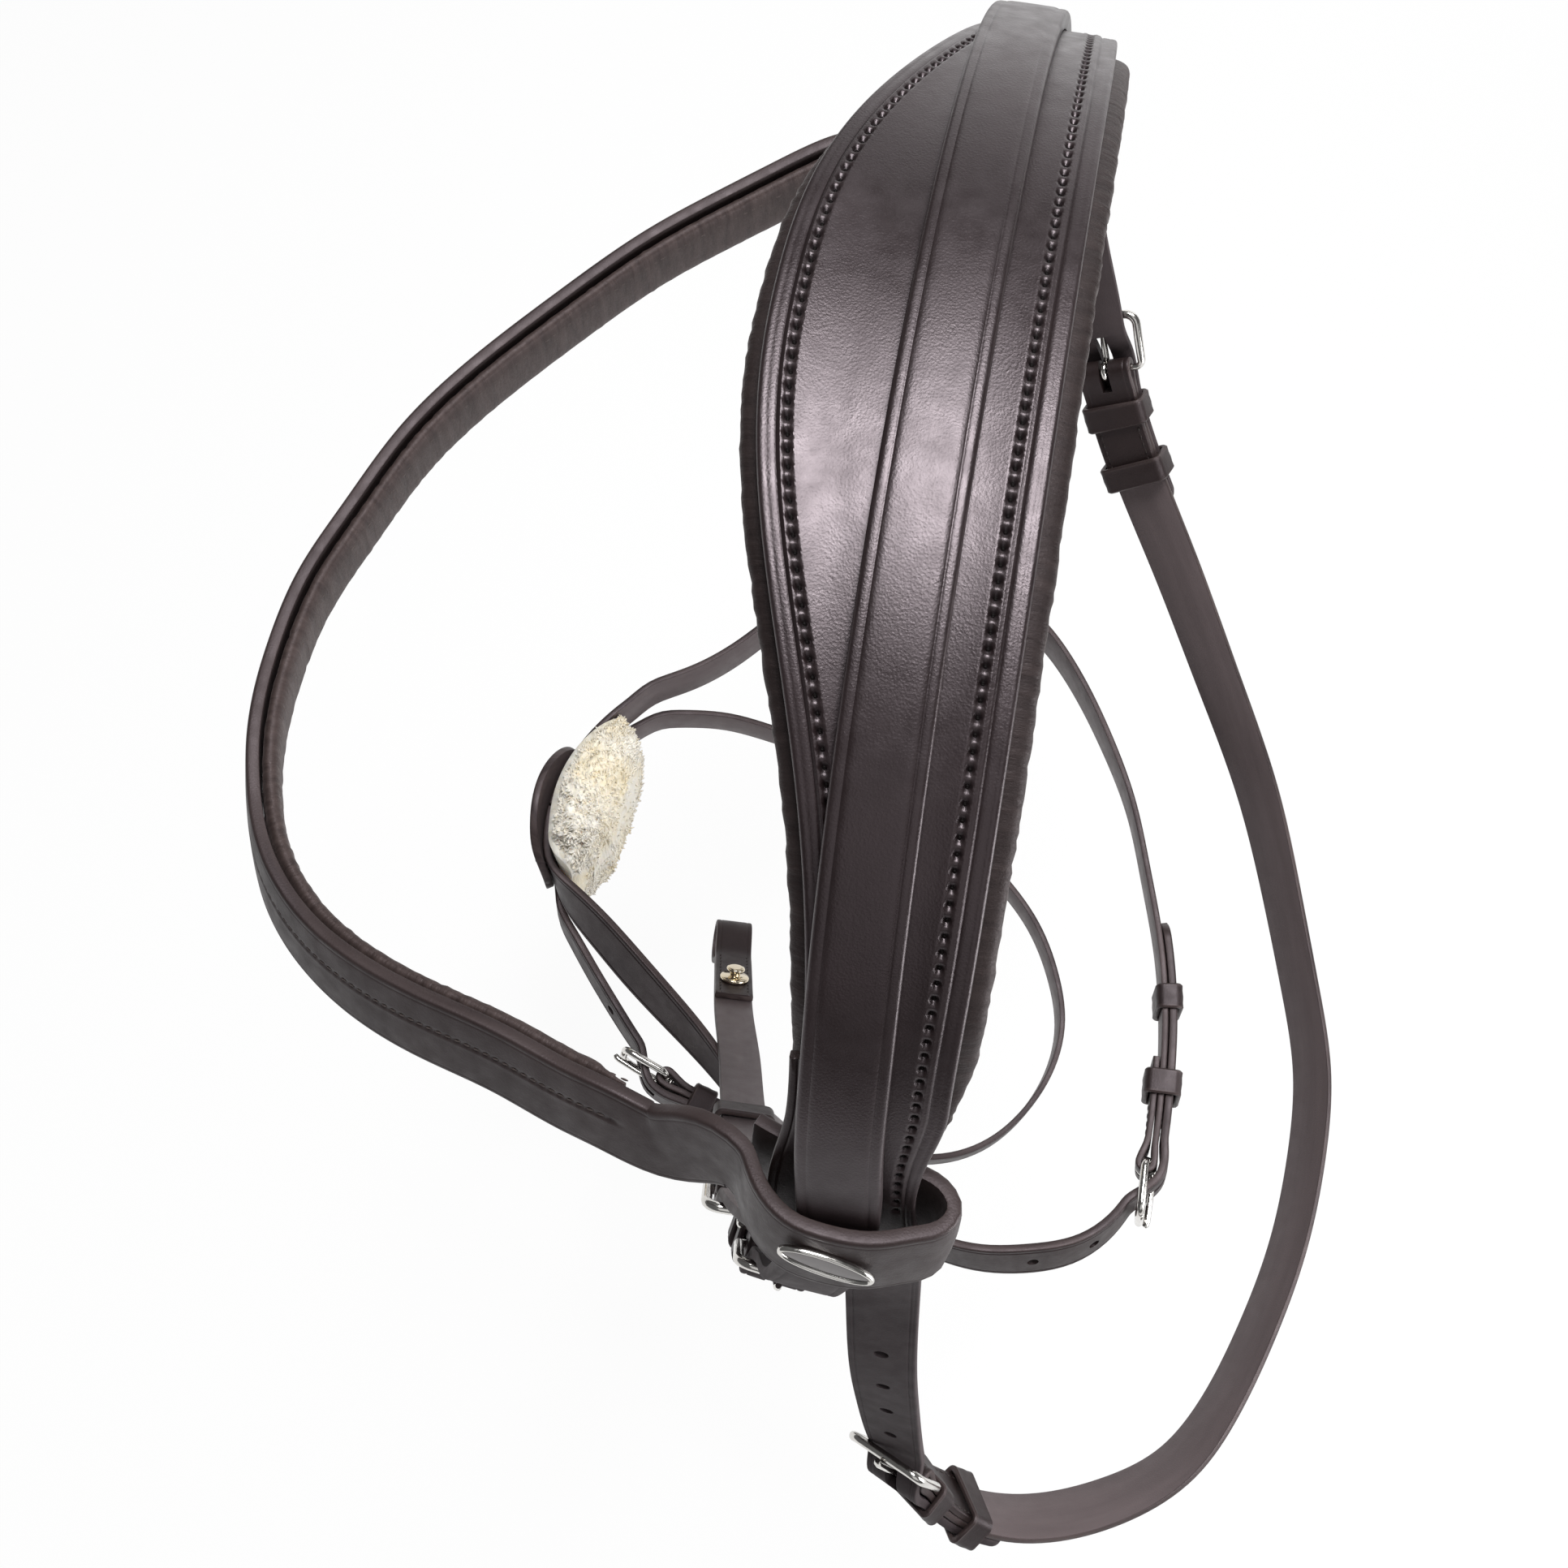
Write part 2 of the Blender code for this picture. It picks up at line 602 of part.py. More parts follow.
def make_headpiece():
    panel = panel_line()
    head = head_line()
    back = back_to_front(panel)
    near_bar = panel.marks[panel.near_first + THROAT_BAR]
    off_bar = -panel.marks[THROAT_OVERLAP - THROAT_OFF_BAR]
    far_off_bar = panel.marks[panel.near_first + len(THROAT_NEAR) - THROAT_OFF_BAR]
    near_path = billet_path(0, near_bar, near_bar + THROAT_TIP, THROAT_HELD)
    off_path = billet_path(0, off_bar, off_bar + THROAT_TIP, THROAT_HELD)
    path = flip(off_path)[:-1] + near_path
    path = [(s, h if abs(s) > 217 else panel_height(s)) for s, h in path]
    leather_panel = ribbon("crown_panel", panel, path, panel_section, leather("panel_leather"))
    halfway = math.floor((near_bar + far_off_bar) / 2 / STEP) * STEP
    throat = chape_path(near_bar, halfway, THROAT_HELD)
    throat_end = flip(chape_path(-far_off_bar, -halfway, THROAT_HELD))[1:]
    throatlash = ribbon("throatlash", panel, throat + throat_end,
                        flat_section(STRAP_WIDTH, FOLD_THICK), leather("throatlash_leather"))
    make_buckle("throat_near", panel, near_bar, THROAT_FRAME)
    make_buckle("throat_off", back, off_bar, THROAT_FRAME)
    open_slots(leather_panel, throatlash, "throat_near", panel, near_bar)
    open_slots(leather_panel, throatlash, "throat_off", back, off_bar)
    holes = [near_bar - 30 - 22 * k for k in range(THROAT_HOLES)]
    punch_holes(leather_panel, "throat_near", panel, holes)
    keepers("throat_near", panel, near_bar, THROAT_HELD)
    keepers("throat_off", back, off_bar, THROAT_HELD)

    hanger_near = billet_path(0, HANGER_BAR, HANGER_BAR + HANGER_TIP, HANGER_HELD)
    both = flip(hanger_near)[:-1] + hanger_near
    both = [(s, h if abs(s) > 234 else strap_height(s)) for s, h in both]
    strap = ribbon("crown_strap", head, both, strap_section, leather("strap_leather"))
    for side, line in (("near", head), ("off", back_to_front(head))):
        hanger = ribbon("nose_hanger_" + side, line, chape_path(HANGER_BAR, line.end - 2, HANGER_HELD),
                        flat_section(STRAP_WIDTH, FOLD_THICK), leather("hanger_" + side))
        make_buckle("hanger_" + side, line, HANGER_BAR)
        open_slots(strap, hanger, "hanger_" + side, line, HANGER_BAR)
        keepers("hanger_" + side, line, HANGER_BAR, HANGER_HELD)
    lining = run(-LINING_END, LINING_END, lining_height)
    ribbon("crown_lining", head, lining, lining_section, padding("crown_padding"))


def keepers(name, line, bar, held, width=STRAP_WIDTH):
    # The first is sewn in, the second slides; each holds the billet on the strap and its turned end.
    for kind, place, room in zip(("keeper_", "runner_"), held, (GAP, RUNNER_ROOM)):
        turned = place < CHAPE_LENGTH + RUNNER_TRAVEL + KEEPER_LENGTH / 2
        low = -GAP / 2 - FOLD_THICK if turned else GAP / 2
        high = OVER_STRAP + STRAP_THICK / 2
        inner = (width / 2 + room, low - room, high + room)
        ring(kind + name, line, bar + place, inner, leather(kind + name))


def make_cheekpiece(side):
    line = cheek_line(side)
    bar = line.marks[CHEEK_BAR]
    bit = line.end - BIT_RADIUS
    billet = ribbon("cheek_billet_" + side, line, billet_path(2, bar, bar + CHEEK_TIP, CHEEK_HELD),
                    flat_section(CHEEK_WIDTH, STRAP_THICK), leather("cheek_billet_" + side))

    def spread(s):
        return ease(bit - s, 0, 16, BIT_RADIUS + FOLD_THICK / 2, LEG)
    top = chape_path(bar, bit - 20, CHEEK_HELD)
    down = run(bit - 18, bit, spread)
    turn = bend_round(bit, BIT_RADIUS + FOLD_THICK / 2, 9, toward=1)[::-1]
    up = run(bit, bit - 50, lambda s: -spread(s))
    strap = ribbon("cheekpiece_" + side, line, top + down[:-1] + turn + up[1:],
                   flat_section(CHEEK_WIDTH, FOLD_THICK), leather("cheekpiece_" + side))
    make_buckle("cheek_" + side, line, bar, CHEEK_WIDTH)
    open_slots(billet, strap, "cheek_" + side, line, bar)
    keepers("cheek_" + side, line, bar, CHEEK_HELD, CHEEK_WIDTH)
    return line


# Browband: places of its top edge from the off loop to the near one, and how far it leans out
BAND_EDGE = [(-132, -22, -94), (-130, -33, -95.5), (-125, -44, -97), (-118, -54, -99),
             (-108, -66.5, -101), (-94, -82, -103), (-73, -100.5, -106), (-51, -117, -108),
             (-27, -131, -110), (-3, -139.5, -112), (17, -145, -113), (37, -146, -113),
             (60, -143, -112), (76, -137.5, -112), (91, -128, -110), (101, -117, -109),
             (109, -102, -106.5), (115, -84, -103), (120, -64.5, -100), (125, -49, -98),
             (128, -38, -96), (131, -27, -95)]
BAND_LEAN = [6, 10, 11, 11, 11, 11, 11, 11, 11, 11, 11, 12, 13, 15, 18, 21, 25, 27, 27, 27, 27, 25]
LOOP_PLACE = 184.5
LOOP_BEND = 11
LOOP_NEAR = [(-24.5, -9.5), (-20.5, -7.0), (-17.8, -2.6), (-14.0, 2.3), (-8.5, 5.8), (-3, 6.8),
             (4, 6.8), (9.0, 5.7), (13.8, 3.8), (18.6, 1.5), (20.8, -2.6), (18.4, -6.9),
             (12, -9.2), (0, -9.8), (-12, -10.8), (-19, -13.2)]


def band_line():
    # The loop's points go round the straps of the headpiece, seen along them.
    angle = arch_angle(LOOP_PLACE)
    ahead = np.array((math.sin(angle), 0, math.cos(angle)))
    near = [np.array(arch_point(LOOP_PLACE, a, h)) for a, h in LOOP_NEAR]
    loop = np.array(LOOP_NEAR)
    heading = unit(np.gradient(loop, axis=0))
    looks = [tuple(ahead * x - np.array((0, y, 0))) for x, y in heading]
    band = []
    faces = []
    for k, (x, y, z) in enumerate(BAND_EDGE):
        before = np.array(BAND_EDGE[max(k - 1, 0)])
        after = np.array(BAND_EDGE[min(k + 1, len(BAND_EDGE) - 1)])
        way = unit((after - before)[:2])
        out = np.array((way[1], -way[0], 0))
        lean = math.radians(BAND_LEAN[k])
        up = np.array((0, 0, 1))
        middle = np.array((x, y, z)) + (out * math.sin(lean) - up * math.cos(lean)) * BAND_WIDTH / 2
        band.append(tuple(middle))
        faces.append(tuple(out * math.cos(lean) + up * math.sin(lean)))
    points = [*mirrored(near)[::-1], *band, *near]
    return Line(points, [*mirrored(looks)[::-1], *faces, *looks]), len(near)


def make_browband():
    line, turned = band_line()
    flat = flat_section(BAND_WIDTH, BAND_THICK)
    close = [line.marks[k] for k in range(turned)] + [line.marks[-1 - k] for k in range(turned)]
    start = line.marks[turned] + LOOP_BEND
    end = line.marks[-1 - turned] - LOOP_BEND
    path = [(s, 0) for s in close[:turned]]
    path += thin_out(run(close[turned - 1], close[-1], 0, (start, end))[1:-1], [start, end])
    path += [(s, 0) for s in close[turned:][::-1]]
    ribbon("browband", line, path, flat, leather("browband_leather"))

    def puff(s):
        b = BAND_LINING_THICK / 2 * ease(min(s - start, end - s), 0, 8, 0.4, 1)
        a = BAND_LINING_WIDTH / 2
        return [(-a, b), (-a, 0), (3 - a, -b), (0, -b * 1.2), (a - 3, -b), (a, 0), (a, b)]

    def depth(s):
        return -BAND_THICK / 2 - GAP - puff(s)[0][1]
    ribbon("browband_lining", line, run(start, end, depth), puff, padding("browband_padding"))
    make_badge(line)


def make_badge(line):
    # An oval plate, raised at its rim, on the near loop's outer face.
    s = (line.marks[-11] + line.marks[-10]) / 2 - 1.5
    place, t, w, n = line.frame(s)
    centre = place + n * (BAND_THICK / 2 + GAP) + w * BADGE_RAISED
    tilt = math.radians(12)
    long_way = t * math.cos(tilt) - w * math.sin(tilt)
    short_way = np.cross(n, long_way)
    bm = bmesh.new()
    rings = []
    for size, height in ((1, 0), (1, 1), (0.86, 1), (0.78, 0.6)):
        loop = []
        for k in range(20):
            angle = 2 * math.pi * k / 20
            a = (BADGE_LENGTH / 2 - (1 - size) * BADGE_WIDTH / 2) * math.cos(angle)
            b = BADGE_WIDTH / 2 * size * math.sin(angle)
            spot = centre + long_way * a + short_way * b + n * height * BADGE_THICK
            loop.append(bm.verts.new(spot * MM))
        rings.append(loop)
    for low, high in zip(rings, rings[1:]):
        for k in range(20):
            bm.faces.new((low[k], low[(k + 1) % 20], high[(k + 1) % 20], high[k]))
    bm.faces.new(rings[0][::-1])
    bm.faces.new(rings[-1])
    place_mesh("badge_plate", bm, metal("badge_metal"))


# Noseband: courses from the disc's middle round the near side, the back and the off side, then how
# far each place's face looks up
NOSE_MIDDLE = (8, -107.5)
NOSE_NEAR = [(20, -106.2), (28.5, -102.6)]
NOSE_OFF = [(-31.3, -94), (-19.5, -101), (-8, -105.3)]
UPPER_LEVEL = -279.5
UPPER_COURSE = [(36.5, -95), (46, -82.5), (56, -69.5), (65, -57.5), (86, -31), (105, -11),
                (118, 16), (125, 43), (126, 57), (123.5, 72), (117, 88), (104, 100), (88, 105.5),
                (66, 106.5), (40, 105), (16, 101), (-9, 94), (-31, 87), (-54, 76), (-78, 61),
                (-96, 44), (-107, 22), (-110.5, 5), (-105, -12), (-92, -33.5), (-77.5, -46),
                (-63, -57.5), (-50, -72), (-40.5, -85.8)]
UPPER_LEAN = [16, 28, 31, 29, 14, 0, 8, 12, 16, 20, 18, 14, 12, 10, 8, 8, 8, 8, 6, 4, 2,
              0, 0, 0, 0, 0, 0, 0, 0]
UPPER_BAR = 12
LOWER_LEVEL = -294.8
LOWER_COURSE = [(36, -100.6, -296.2), (46, -93.5, -296), (56, -84.5, -298), (66, -75, -300),
                (76, -65, -301.5), (86, -52, -303), (91, -36, -306), (94, -12, -312),
                (93, 20, -319), (89, 45, -325), (81, 59, -328), (68, 70, -330), (51, 77.5, -331),
                (34, 79, -331), (18, 74.5, -330), (0, 64, -328), (-14, 49, -325), (-28, 28, -320),
                (-38, 6, -314), (-43, -18, -308), (-45, -42, -303), (-45, -58, -299.5),
                (-42.5, -72, -297.5), (-38.5, -83.5, -296), (-31.5, -92.3, -295)]
LOWER_LEAN = [4, 10, 12, 12, 10, 6, 4, 0, 0, 0, 0, 0, 0, 0, 0, 0, 0, 0, 0, 0, 0, 0, 0, 0, 0]
LOWER_BAR = 5
DISC_LEVEL = -283
NOSE_STEP = 5.0
NOSE_BEND = 40


def nose_line(course, leans, level, off_ends):
    # Runs on a little past the disc's middle at both ends, over the same places.
    before = [(*p, level) for p in off_ends]
    after = [(*p, level) for p in (NOSE_MIDDLE, *NOSE_NEAR)]
    course = [(*p, level) if len(p) == 2 else p for p in course]
    points = [*course[-2:], *before, *after, *course, *before, *after, course[0]]
    pad = [0] * len(before)
    rest = [0] * len(after)
    leans = [*leans[-2:], *pad, *rest, *leans, *pad, *rest, leans[0]]
    way = unit(np.gradient(np.array(points, float)[:, :2], axis=0))
    faces = []
    for (x, y), lean in zip(way, leans):
        tilt = math.radians(lean)
        faces.append((y * math.cos(tilt), -x * math.cos(tilt), math.sin(tilt)))
    middle = 2 + len(before)
    line = Line(points, faces, middle)
    line.first = middle + len(after)
    line.close = line.marks[line.first + len(course) + len(before)]
    return line


def make_ring(name, line, bar_mark, tip, width, held, holes):
    # The near strap is the billet; the off strap carries the buckle. Both have closer stations where
    # they bend round the nose.
    bar = line.marks[line.first + bar_mark]
    start = NOSE_ROOM
    end = line.close - NOSE_ROOM
    billet = billet_path(start, bar, bar + tip, held)
    bent = np.arange(NOSE_STEP, NOSE_BEND, NOSE_STEP)
    billet = [p for p in billet if p[0] > NOSE_BEND + 2 or p[0] == start]
    billet = billet[:1] + [(s, UNDER_FRAME) for s in bent] + billet[1:]
    near = ribbon(name + "_strap_near", line, billet,
                  flat_section(width, STRAP_THICK), leather(name + "_leather_near"))
    chape = chape_path(bar, end, held)
    bend = end - NOSE_BEND - NOSE_STEP
    bent = np.arange(bend, end - 2, NOSE_STEP)
    chape = [p for p in chape[:-1] if p[0] < bend - 2] + [(s, LEG) for s in bent] + chape[-1:]
    chape = [(s, h if s < bend - 15 else ease(s, bend - 15, bend, h, UNDER_FRAME)) for s, h in chape]
    off = ribbon(name + "_strap_off", line, chape,
                 flat_section(width, FOLD_THICK), leather(name + "_leather_off"))
    make_buckle(name, line, bar, width)
    open_slots(near, off, name, line, bar)
    punch_holes(near, name, line, [bar - 30 - 20 * k for k in range(holes)])
    keepers(name, line, bar, held, width)


def make_nose():
    upper = nose_line(UPPER_COURSE, UPPER_LEAN, UPPER_LEVEL, NOSE_OFF)
    lower = nose_line(LOWER_COURSE, LOWER_LEAN, LOWER_LEVEL, NOSE_OFF[1:])
    make_ring("upper", upper, UPPER_BAR, UPPER_TIP, STRAP_WIDTH, UPPER_HELD, 2)
    make_ring("lower", lower, LOWER_BAR, LOWER_TIP, NARROW_WIDTH, LOWER_HELD, 1)
    make_disc(upper)
    make_fleece(upper)


def make_disc(line):
    # A round of leather, bent to the nose, in front of the straps.
    depth = UNDER_FRAME + STRAP_THICK / 2 + NOSE_ROOM + DISC_THICK / 2
    shift = UPPER_LEVEL - DISC_LEVEL
    b = DISC_THICK / 2

    def outline(s):
        half = math.sqrt(DISC_RADIUS ** 2 - s ** 2)
        low = -half - shift
        high = half - shift
        return [(low, -b), (high, -b), (high, b - EDGE), (high - EDGE, b), (low + EDGE, b),
                (low, b - EDGE)]
    turns = [math.radians(8 + 164 * k / 14) for k in range(15)]
    path = [(-DISC_RADIUS * math.cos(turn), depth) for turn in turns]
    ribbon("nose_disc", line, path, outline, leather("disc_leather"))


def make_fleece(line):
    # A thick pad behind the straps: flat in front, crowned behind, drawn in at its ends.
    front = UNDER_FRAME - STRAP_THICK / 2 - NOSE_ROOM
    shift = UPPER_LEVEL - DISC_LEVEL
    half = FLEECE_WIDTH / 2

    def outline(s):
        end = ((s - FLEECE_SHIFT) / FLEECE_HALF) ** 2
        tall = half * (1 - 0.16 * end ** 2)
        thick = FLEECE_THICK * (1 - 0.22 * end ** 2)
        shape = []
        for k in range(13):
            turn = math.pi * k / 12
            a = tall * math.copysign(abs(math.cos(turn)) ** 0.5, math.cos(turn))
            shape.append((a - shift, -thick * (0.12 + 0.88 * math.sin(turn) ** 0.6)))
        shape.append((-tall * 0.94 - shift, 0))
        shape.append((tall * 0.94 - shift, 0))
        return shape
    reach = [FLEECE_SHIFT + FLEECE_HALF * math.sin(math.pi / 2 * k / 6) for k in range(-6, 7)]
    path = [(s, front) for s in reach]
    ribbon("sheepskin_pad", line, path, outline, finish_material("fleece", FLEECE, 0.95, 0))


def make_bit_stud(side, line):
    # The hook that closes the bit end: a plate on the turned end, with a headed stud.
    s = line.end - 44
    depth = LEG + FOLD_THICK / 2 + GAP
    bm = bmesh.new()
    rings = []
    for radius, height in ((5, 0), (5, 1.2), (1.8, 1.5), (1.8, 3.2), (3.2, 3.6), (3.2, 4.6)):
        loop = []
        for k in range(12):
            angle = 2 * math.pi * k / 12
            spot = line.at(s + radius * math.cos(angle), radius * math.sin(angle), -depth - height)
            loop.append(bm.verts.new(spot * MM))
        rings.append(loop)
    for low, high in zip(rings, rings[1:]):
        for k in range(12):
            bm.faces.new((low[k], low[(k + 1) % 12], high[(k + 1) % 12], high[k]))
    bm.faces.new(rings[0][::-1])
    bm.faces.new(rings[-1])
    place_mesh("bit_stud_" + side, bm, metal("stud_" + side))


clear_scene()
make_headpiece()
for cheek_side in ("near", "off"):
    make_bit_stud(cheek_side, make_cheekpiece(cheek_side))
make_browband()
make_nose()
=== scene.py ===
# English bridle with a crossed noseband: its looks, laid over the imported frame.
# Sizes are in millimetres and become metres when a mesh is made.
import math

import bpy
import numpy as np
from mathutils import Matrix, Vector, noise


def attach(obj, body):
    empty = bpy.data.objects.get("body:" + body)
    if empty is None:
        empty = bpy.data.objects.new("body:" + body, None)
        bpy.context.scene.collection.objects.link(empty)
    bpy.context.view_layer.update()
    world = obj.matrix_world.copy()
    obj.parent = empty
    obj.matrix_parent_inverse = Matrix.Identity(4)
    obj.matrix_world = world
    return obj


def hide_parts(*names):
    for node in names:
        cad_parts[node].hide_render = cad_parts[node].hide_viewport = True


# Seeded, so that the fleece's tufts lean the same way in each run.
noise.seed_set(7)

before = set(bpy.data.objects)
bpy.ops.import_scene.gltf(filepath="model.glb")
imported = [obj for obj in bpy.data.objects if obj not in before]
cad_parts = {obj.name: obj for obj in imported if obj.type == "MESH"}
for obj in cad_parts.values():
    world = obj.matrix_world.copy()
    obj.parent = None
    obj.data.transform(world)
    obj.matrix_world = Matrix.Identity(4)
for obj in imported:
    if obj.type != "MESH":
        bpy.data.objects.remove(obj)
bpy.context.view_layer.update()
print("frame loaded:", len(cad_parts), "nodes")

mm = 0.001
leather = {"gap": 0.3, "strap": 16.0, "thick": 2.5, "fold": 2.0, "cheek": 13.0, "step": 3.0}
layers = {"panel": 3.5, "lining": 8.0, "raised": 4.0, "liningEnd": 171.0, "insetFront": 3.2,
          "insetBack": 3.9}
layers["poll"] = layers["panel"] + leather["gap"] + layers["lining"]
buckle = {"bar": 1.0, "frame": 1.3, "tongue": 1.0, "length": 16.0, "rise": 2.2, "corner": 3.5,
          "heelCorner": 2.0, "sideRoom": 0.8, "chape": 34.0, "sides": 12}
keeper = {"length": 8.0, "wall": 1.6, "room": 0.7, "travel": 8, "corner": 0.9}
cuts = {"slot": (12.6, 3.6, 16), "slotBack": 4.8, "chapeSlot": (11, 2 * buckle["tongue"] + 1, 12),
        "hole": (3.6, 3.6, 8), "firstHole": 30}


# Camera, floor and lights

view = {"lens": 35.494, "place": (0.1823, 0.0051, 0.2286), "floor": -0.46,
        "right": (-0.1924, 0.9813, 0.0051), "up": (-0.9075, -0.1799, 0.3794),
        "back": (0.3733, 0.0683, 0.9252)}


def deselectAll():
    if bpy.context.object and bpy.context.object.mode != "OBJECT":
        bpy.ops.object.mode_set(mode="OBJECT")
    bpy.ops.object.select_all(action="DESELECT")


def placeCamera():
    bpy.ops.object.camera_add()
    camera = bpy.context.object
    camera.name = "camera"
    camera.data.lens = view["lens"]
    camera.data.sensor_width = 36
    camera.data.clip_start = 0.01
    turn = Matrix((view["right"], view["up"], view["back"])).transposed().to_4x4()
    camera.matrix_world = Matrix.Translation(view["place"]) @ turn
    bpy.context.scene.camera = camera


def addLight(name, place, size, power, target=(0, 0, -0.12)):
    bpy.ops.object.light_add(type="AREA", location=place)
    lamp = bpy.context.object
    lamp.name = name
    lamp.data.energy = power
    lamp.data.size = size
    lamp.visible_camera = False
    way = Vector(target) - Vector(place)
    lamp.rotation_euler = way.to_track_quat("-Z", "Y").to_euler()


def placeStage():
    deselectAll()
    bpy.ops.mesh.primitive_plane_add(size=8, location=(0, 0, view["floor"]))
    floor = bpy.context.object
    floor.name = "floor"
    paint = bpy.data.materials.new("paleFloor")
    paint.use_nodes = True
    nodes, links = paint.node_tree.nodes, paint.node_tree.links
    shader = nodes["Principled BSDF"]
    shader.inputs["Base Color"].default_value = (0.86, 0.86, 0.86, 1)
    shader.inputs["Roughness"].default_value = 0.9
    glow = nodes.new("ShaderNodeEmission")
    glow.inputs["Strength"].default_value = 1.0
    ray = nodes.new("ShaderNodeLightPath")
    seen = ray.outputs["Is Camera Ray"]
    for kind in ("Is Glossy Ray", "Is Transmission Ray"):
        either = nodes.new("ShaderNodeMath")
        either.operation = "MAXIMUM"
        links.new(seen, either.inputs[0])
        links.new(ray.outputs[kind], either.inputs[1])
        seen = either.outputs[0]
    share = nodes.new("ShaderNodeMath")
    share.operation = "MULTIPLY"
    share.inputs[1].default_value = 0.92
    blend = nodes.new("ShaderNodeMixShader")
    links.new(seen, share.inputs[0])
    links.new(share.outputs[0], blend.inputs[0])
    links.new(shader.outputs[0], blend.inputs[1])
    links.new(glow.outputs[0], blend.inputs[2])
    links.new(blend.outputs[0], nodes["Material Output"].inputs["Surface"])
    floor.data.materials.append(paint)
    world = bpy.data.worlds.new("studio")
    bpy.context.scene.world = world
    world.use_nodes = True
    sky = world.node_tree.nodes["Background"]
    sky.inputs["Color"].default_value = (1, 1, 1, 1)
    behind = world.node_tree.nodes.new("ShaderNodeLightPath").outputs["Is Camera Ray"]
    level = world.node_tree.nodes.new("ShaderNodeMapRange")
    level.inputs["To Min"].default_value = 0.12
    world.node_tree.links.new(behind, level.inputs["Value"])
    world.node_tree.links.new(level.outputs[0], sky.inputs["Strength"])
    bpy.context.scene.view_settings.view_transform = "Standard"
    addLight("overhead", (-0.25, 0.1, 1.25), 0.62, 25)
    addLight("nearSide", (0.9, 0.25, 0.75), 0.9, 1.5)
    addLight("offSide", (-1.1, 0.15, 0.08), 0.9, 2.8)
    addLight("within", (0.16, 0.46, -0.1), 0.3, 1.9, target=(0, -0.1, -0.28))


# Materials

tones = {
    "leather": {"base": (0.009, 0.0050, 0.0045), "light": (0.018, 0.0110, 0.0101),
                "edge": (0.050, 0.036, 0.034), "flesh": (0.095, 0.075, 0.076),
                "rough": (0.34, 0.48), "dull": 0.10, "coat": 0.04, "shine": 0.48},
    "crown": {"base": (0.009, 0.0052, 0.0052), "light": (0.016, 0.0102, 0.0106),
              "edge": (0.045, 0.034, 0.035), "flesh": (0.030, 0.022, 0.022),
              "rough": (0.31, 0.42), "dull": 0.42, "coat": 0.0, "shine": 0.70},
    "band": {"base": (0.015, 0.0090, 0.0082), "light": (0.027, 0.0182, 0.0170),
             "edge": (0.040, 0.029, 0.0275), "flesh": (0.028, 0.020, 0.019),
             "rough": (0.40, 0.54), "dull": 0.1, "coat": 0.03, "shine": 0.48},
}


class Nodes:
    # Short names for building a material's nodes.
    def __init__(self, name):
        self.material = bpy.data.materials.new(name)
        self.material.use_nodes = True
        self.tree = self.material.node_tree
        self.shader = self.tree.nodes["Principled BSDF"]
        self.coordinates = self.add("ShaderNodeTexCoord").outputs

    def add(self, kind, **values):
        node = self.tree.nodes.new(kind)
        for key, value in values.items():
            if hasattr(node, key):
                setattr(node, key, value)
            else:
                node.inputs[key].default_value = value
        return node

    def link(self, source, target):
        self.tree.links.new(source, target)

    def noise(self, where, scale, detail=4.0, roughness=0.55):
        node = self.add("ShaderNodeTexNoise", Scale=scale, Detail=detail, Roughness=roughness)
        self.link(where, node.inputs["Vector"])
        return node.outputs["Fac"]

    def stretch(self, where, scale):
        node = self.add("ShaderNodeMapping", Scale=scale)
        self.link(where, node.inputs["Vector"])
        return node.outputs["Vector"]

    def span(self, value, low, high, start=0.0, end=1.0):
        node = self.add("ShaderNodeMapRange")
        for key, number in zip(("From Min", "From Max", "To Min", "To Max"), (low, high, start, end)):
            node.inputs[key].default_value = number
        self.link(value, node.inputs["Value"])
        return node.outputs["Result"]

    def mix(self, share, first, second):
        node = self.add("ShaderNodeMix", data_type="RGBA")
        self.link(share, node.inputs["Factor"])
        for socket, colour in ((node.inputs[6], first), (node.inputs[7], second)):
            if isinstance(colour, tuple):
                socket.default_value = (*colour, 1)
            else:
                self.link(colour, socket)
        return node.outputs[2]

    def combine(self, operation, first, second):
        node = self.add("ShaderNodeMath", operation=operation)
        for socket, value in zip(node.inputs, (first, second)):
            if isinstance(value, (int, float)):
                socket.default_value = value
            else:
                self.link(value, socket)
        return node.outputs[0]

    def attribute(self, name):
        return self.add("ShaderNodeAttribute", attribute_name=name).outputs["Fac"]

    def bump(self, height, distance, strength, before=None):
        node = self.add("ShaderNodeBump", Distance=distance, Strength=strength)
        self.link(height, node.inputs["Height"])
        if before:
            self.link(before, node.inputs["Normal"])
        return node.outputs["Normal"]

    def finished(self, sockets):
        # Outputs are linked to the shader; constants go on its own sockets.
        for key, value in sockets.items():
            if isinstance(value, bpy.types.NodeSocket):
                self.link(value, self.shader.inputs[key])
            else:
                self.shader.inputs[key].default_value = value
        return self.material


def darker(colour, share):
    return tuple(v * share for v in colour)


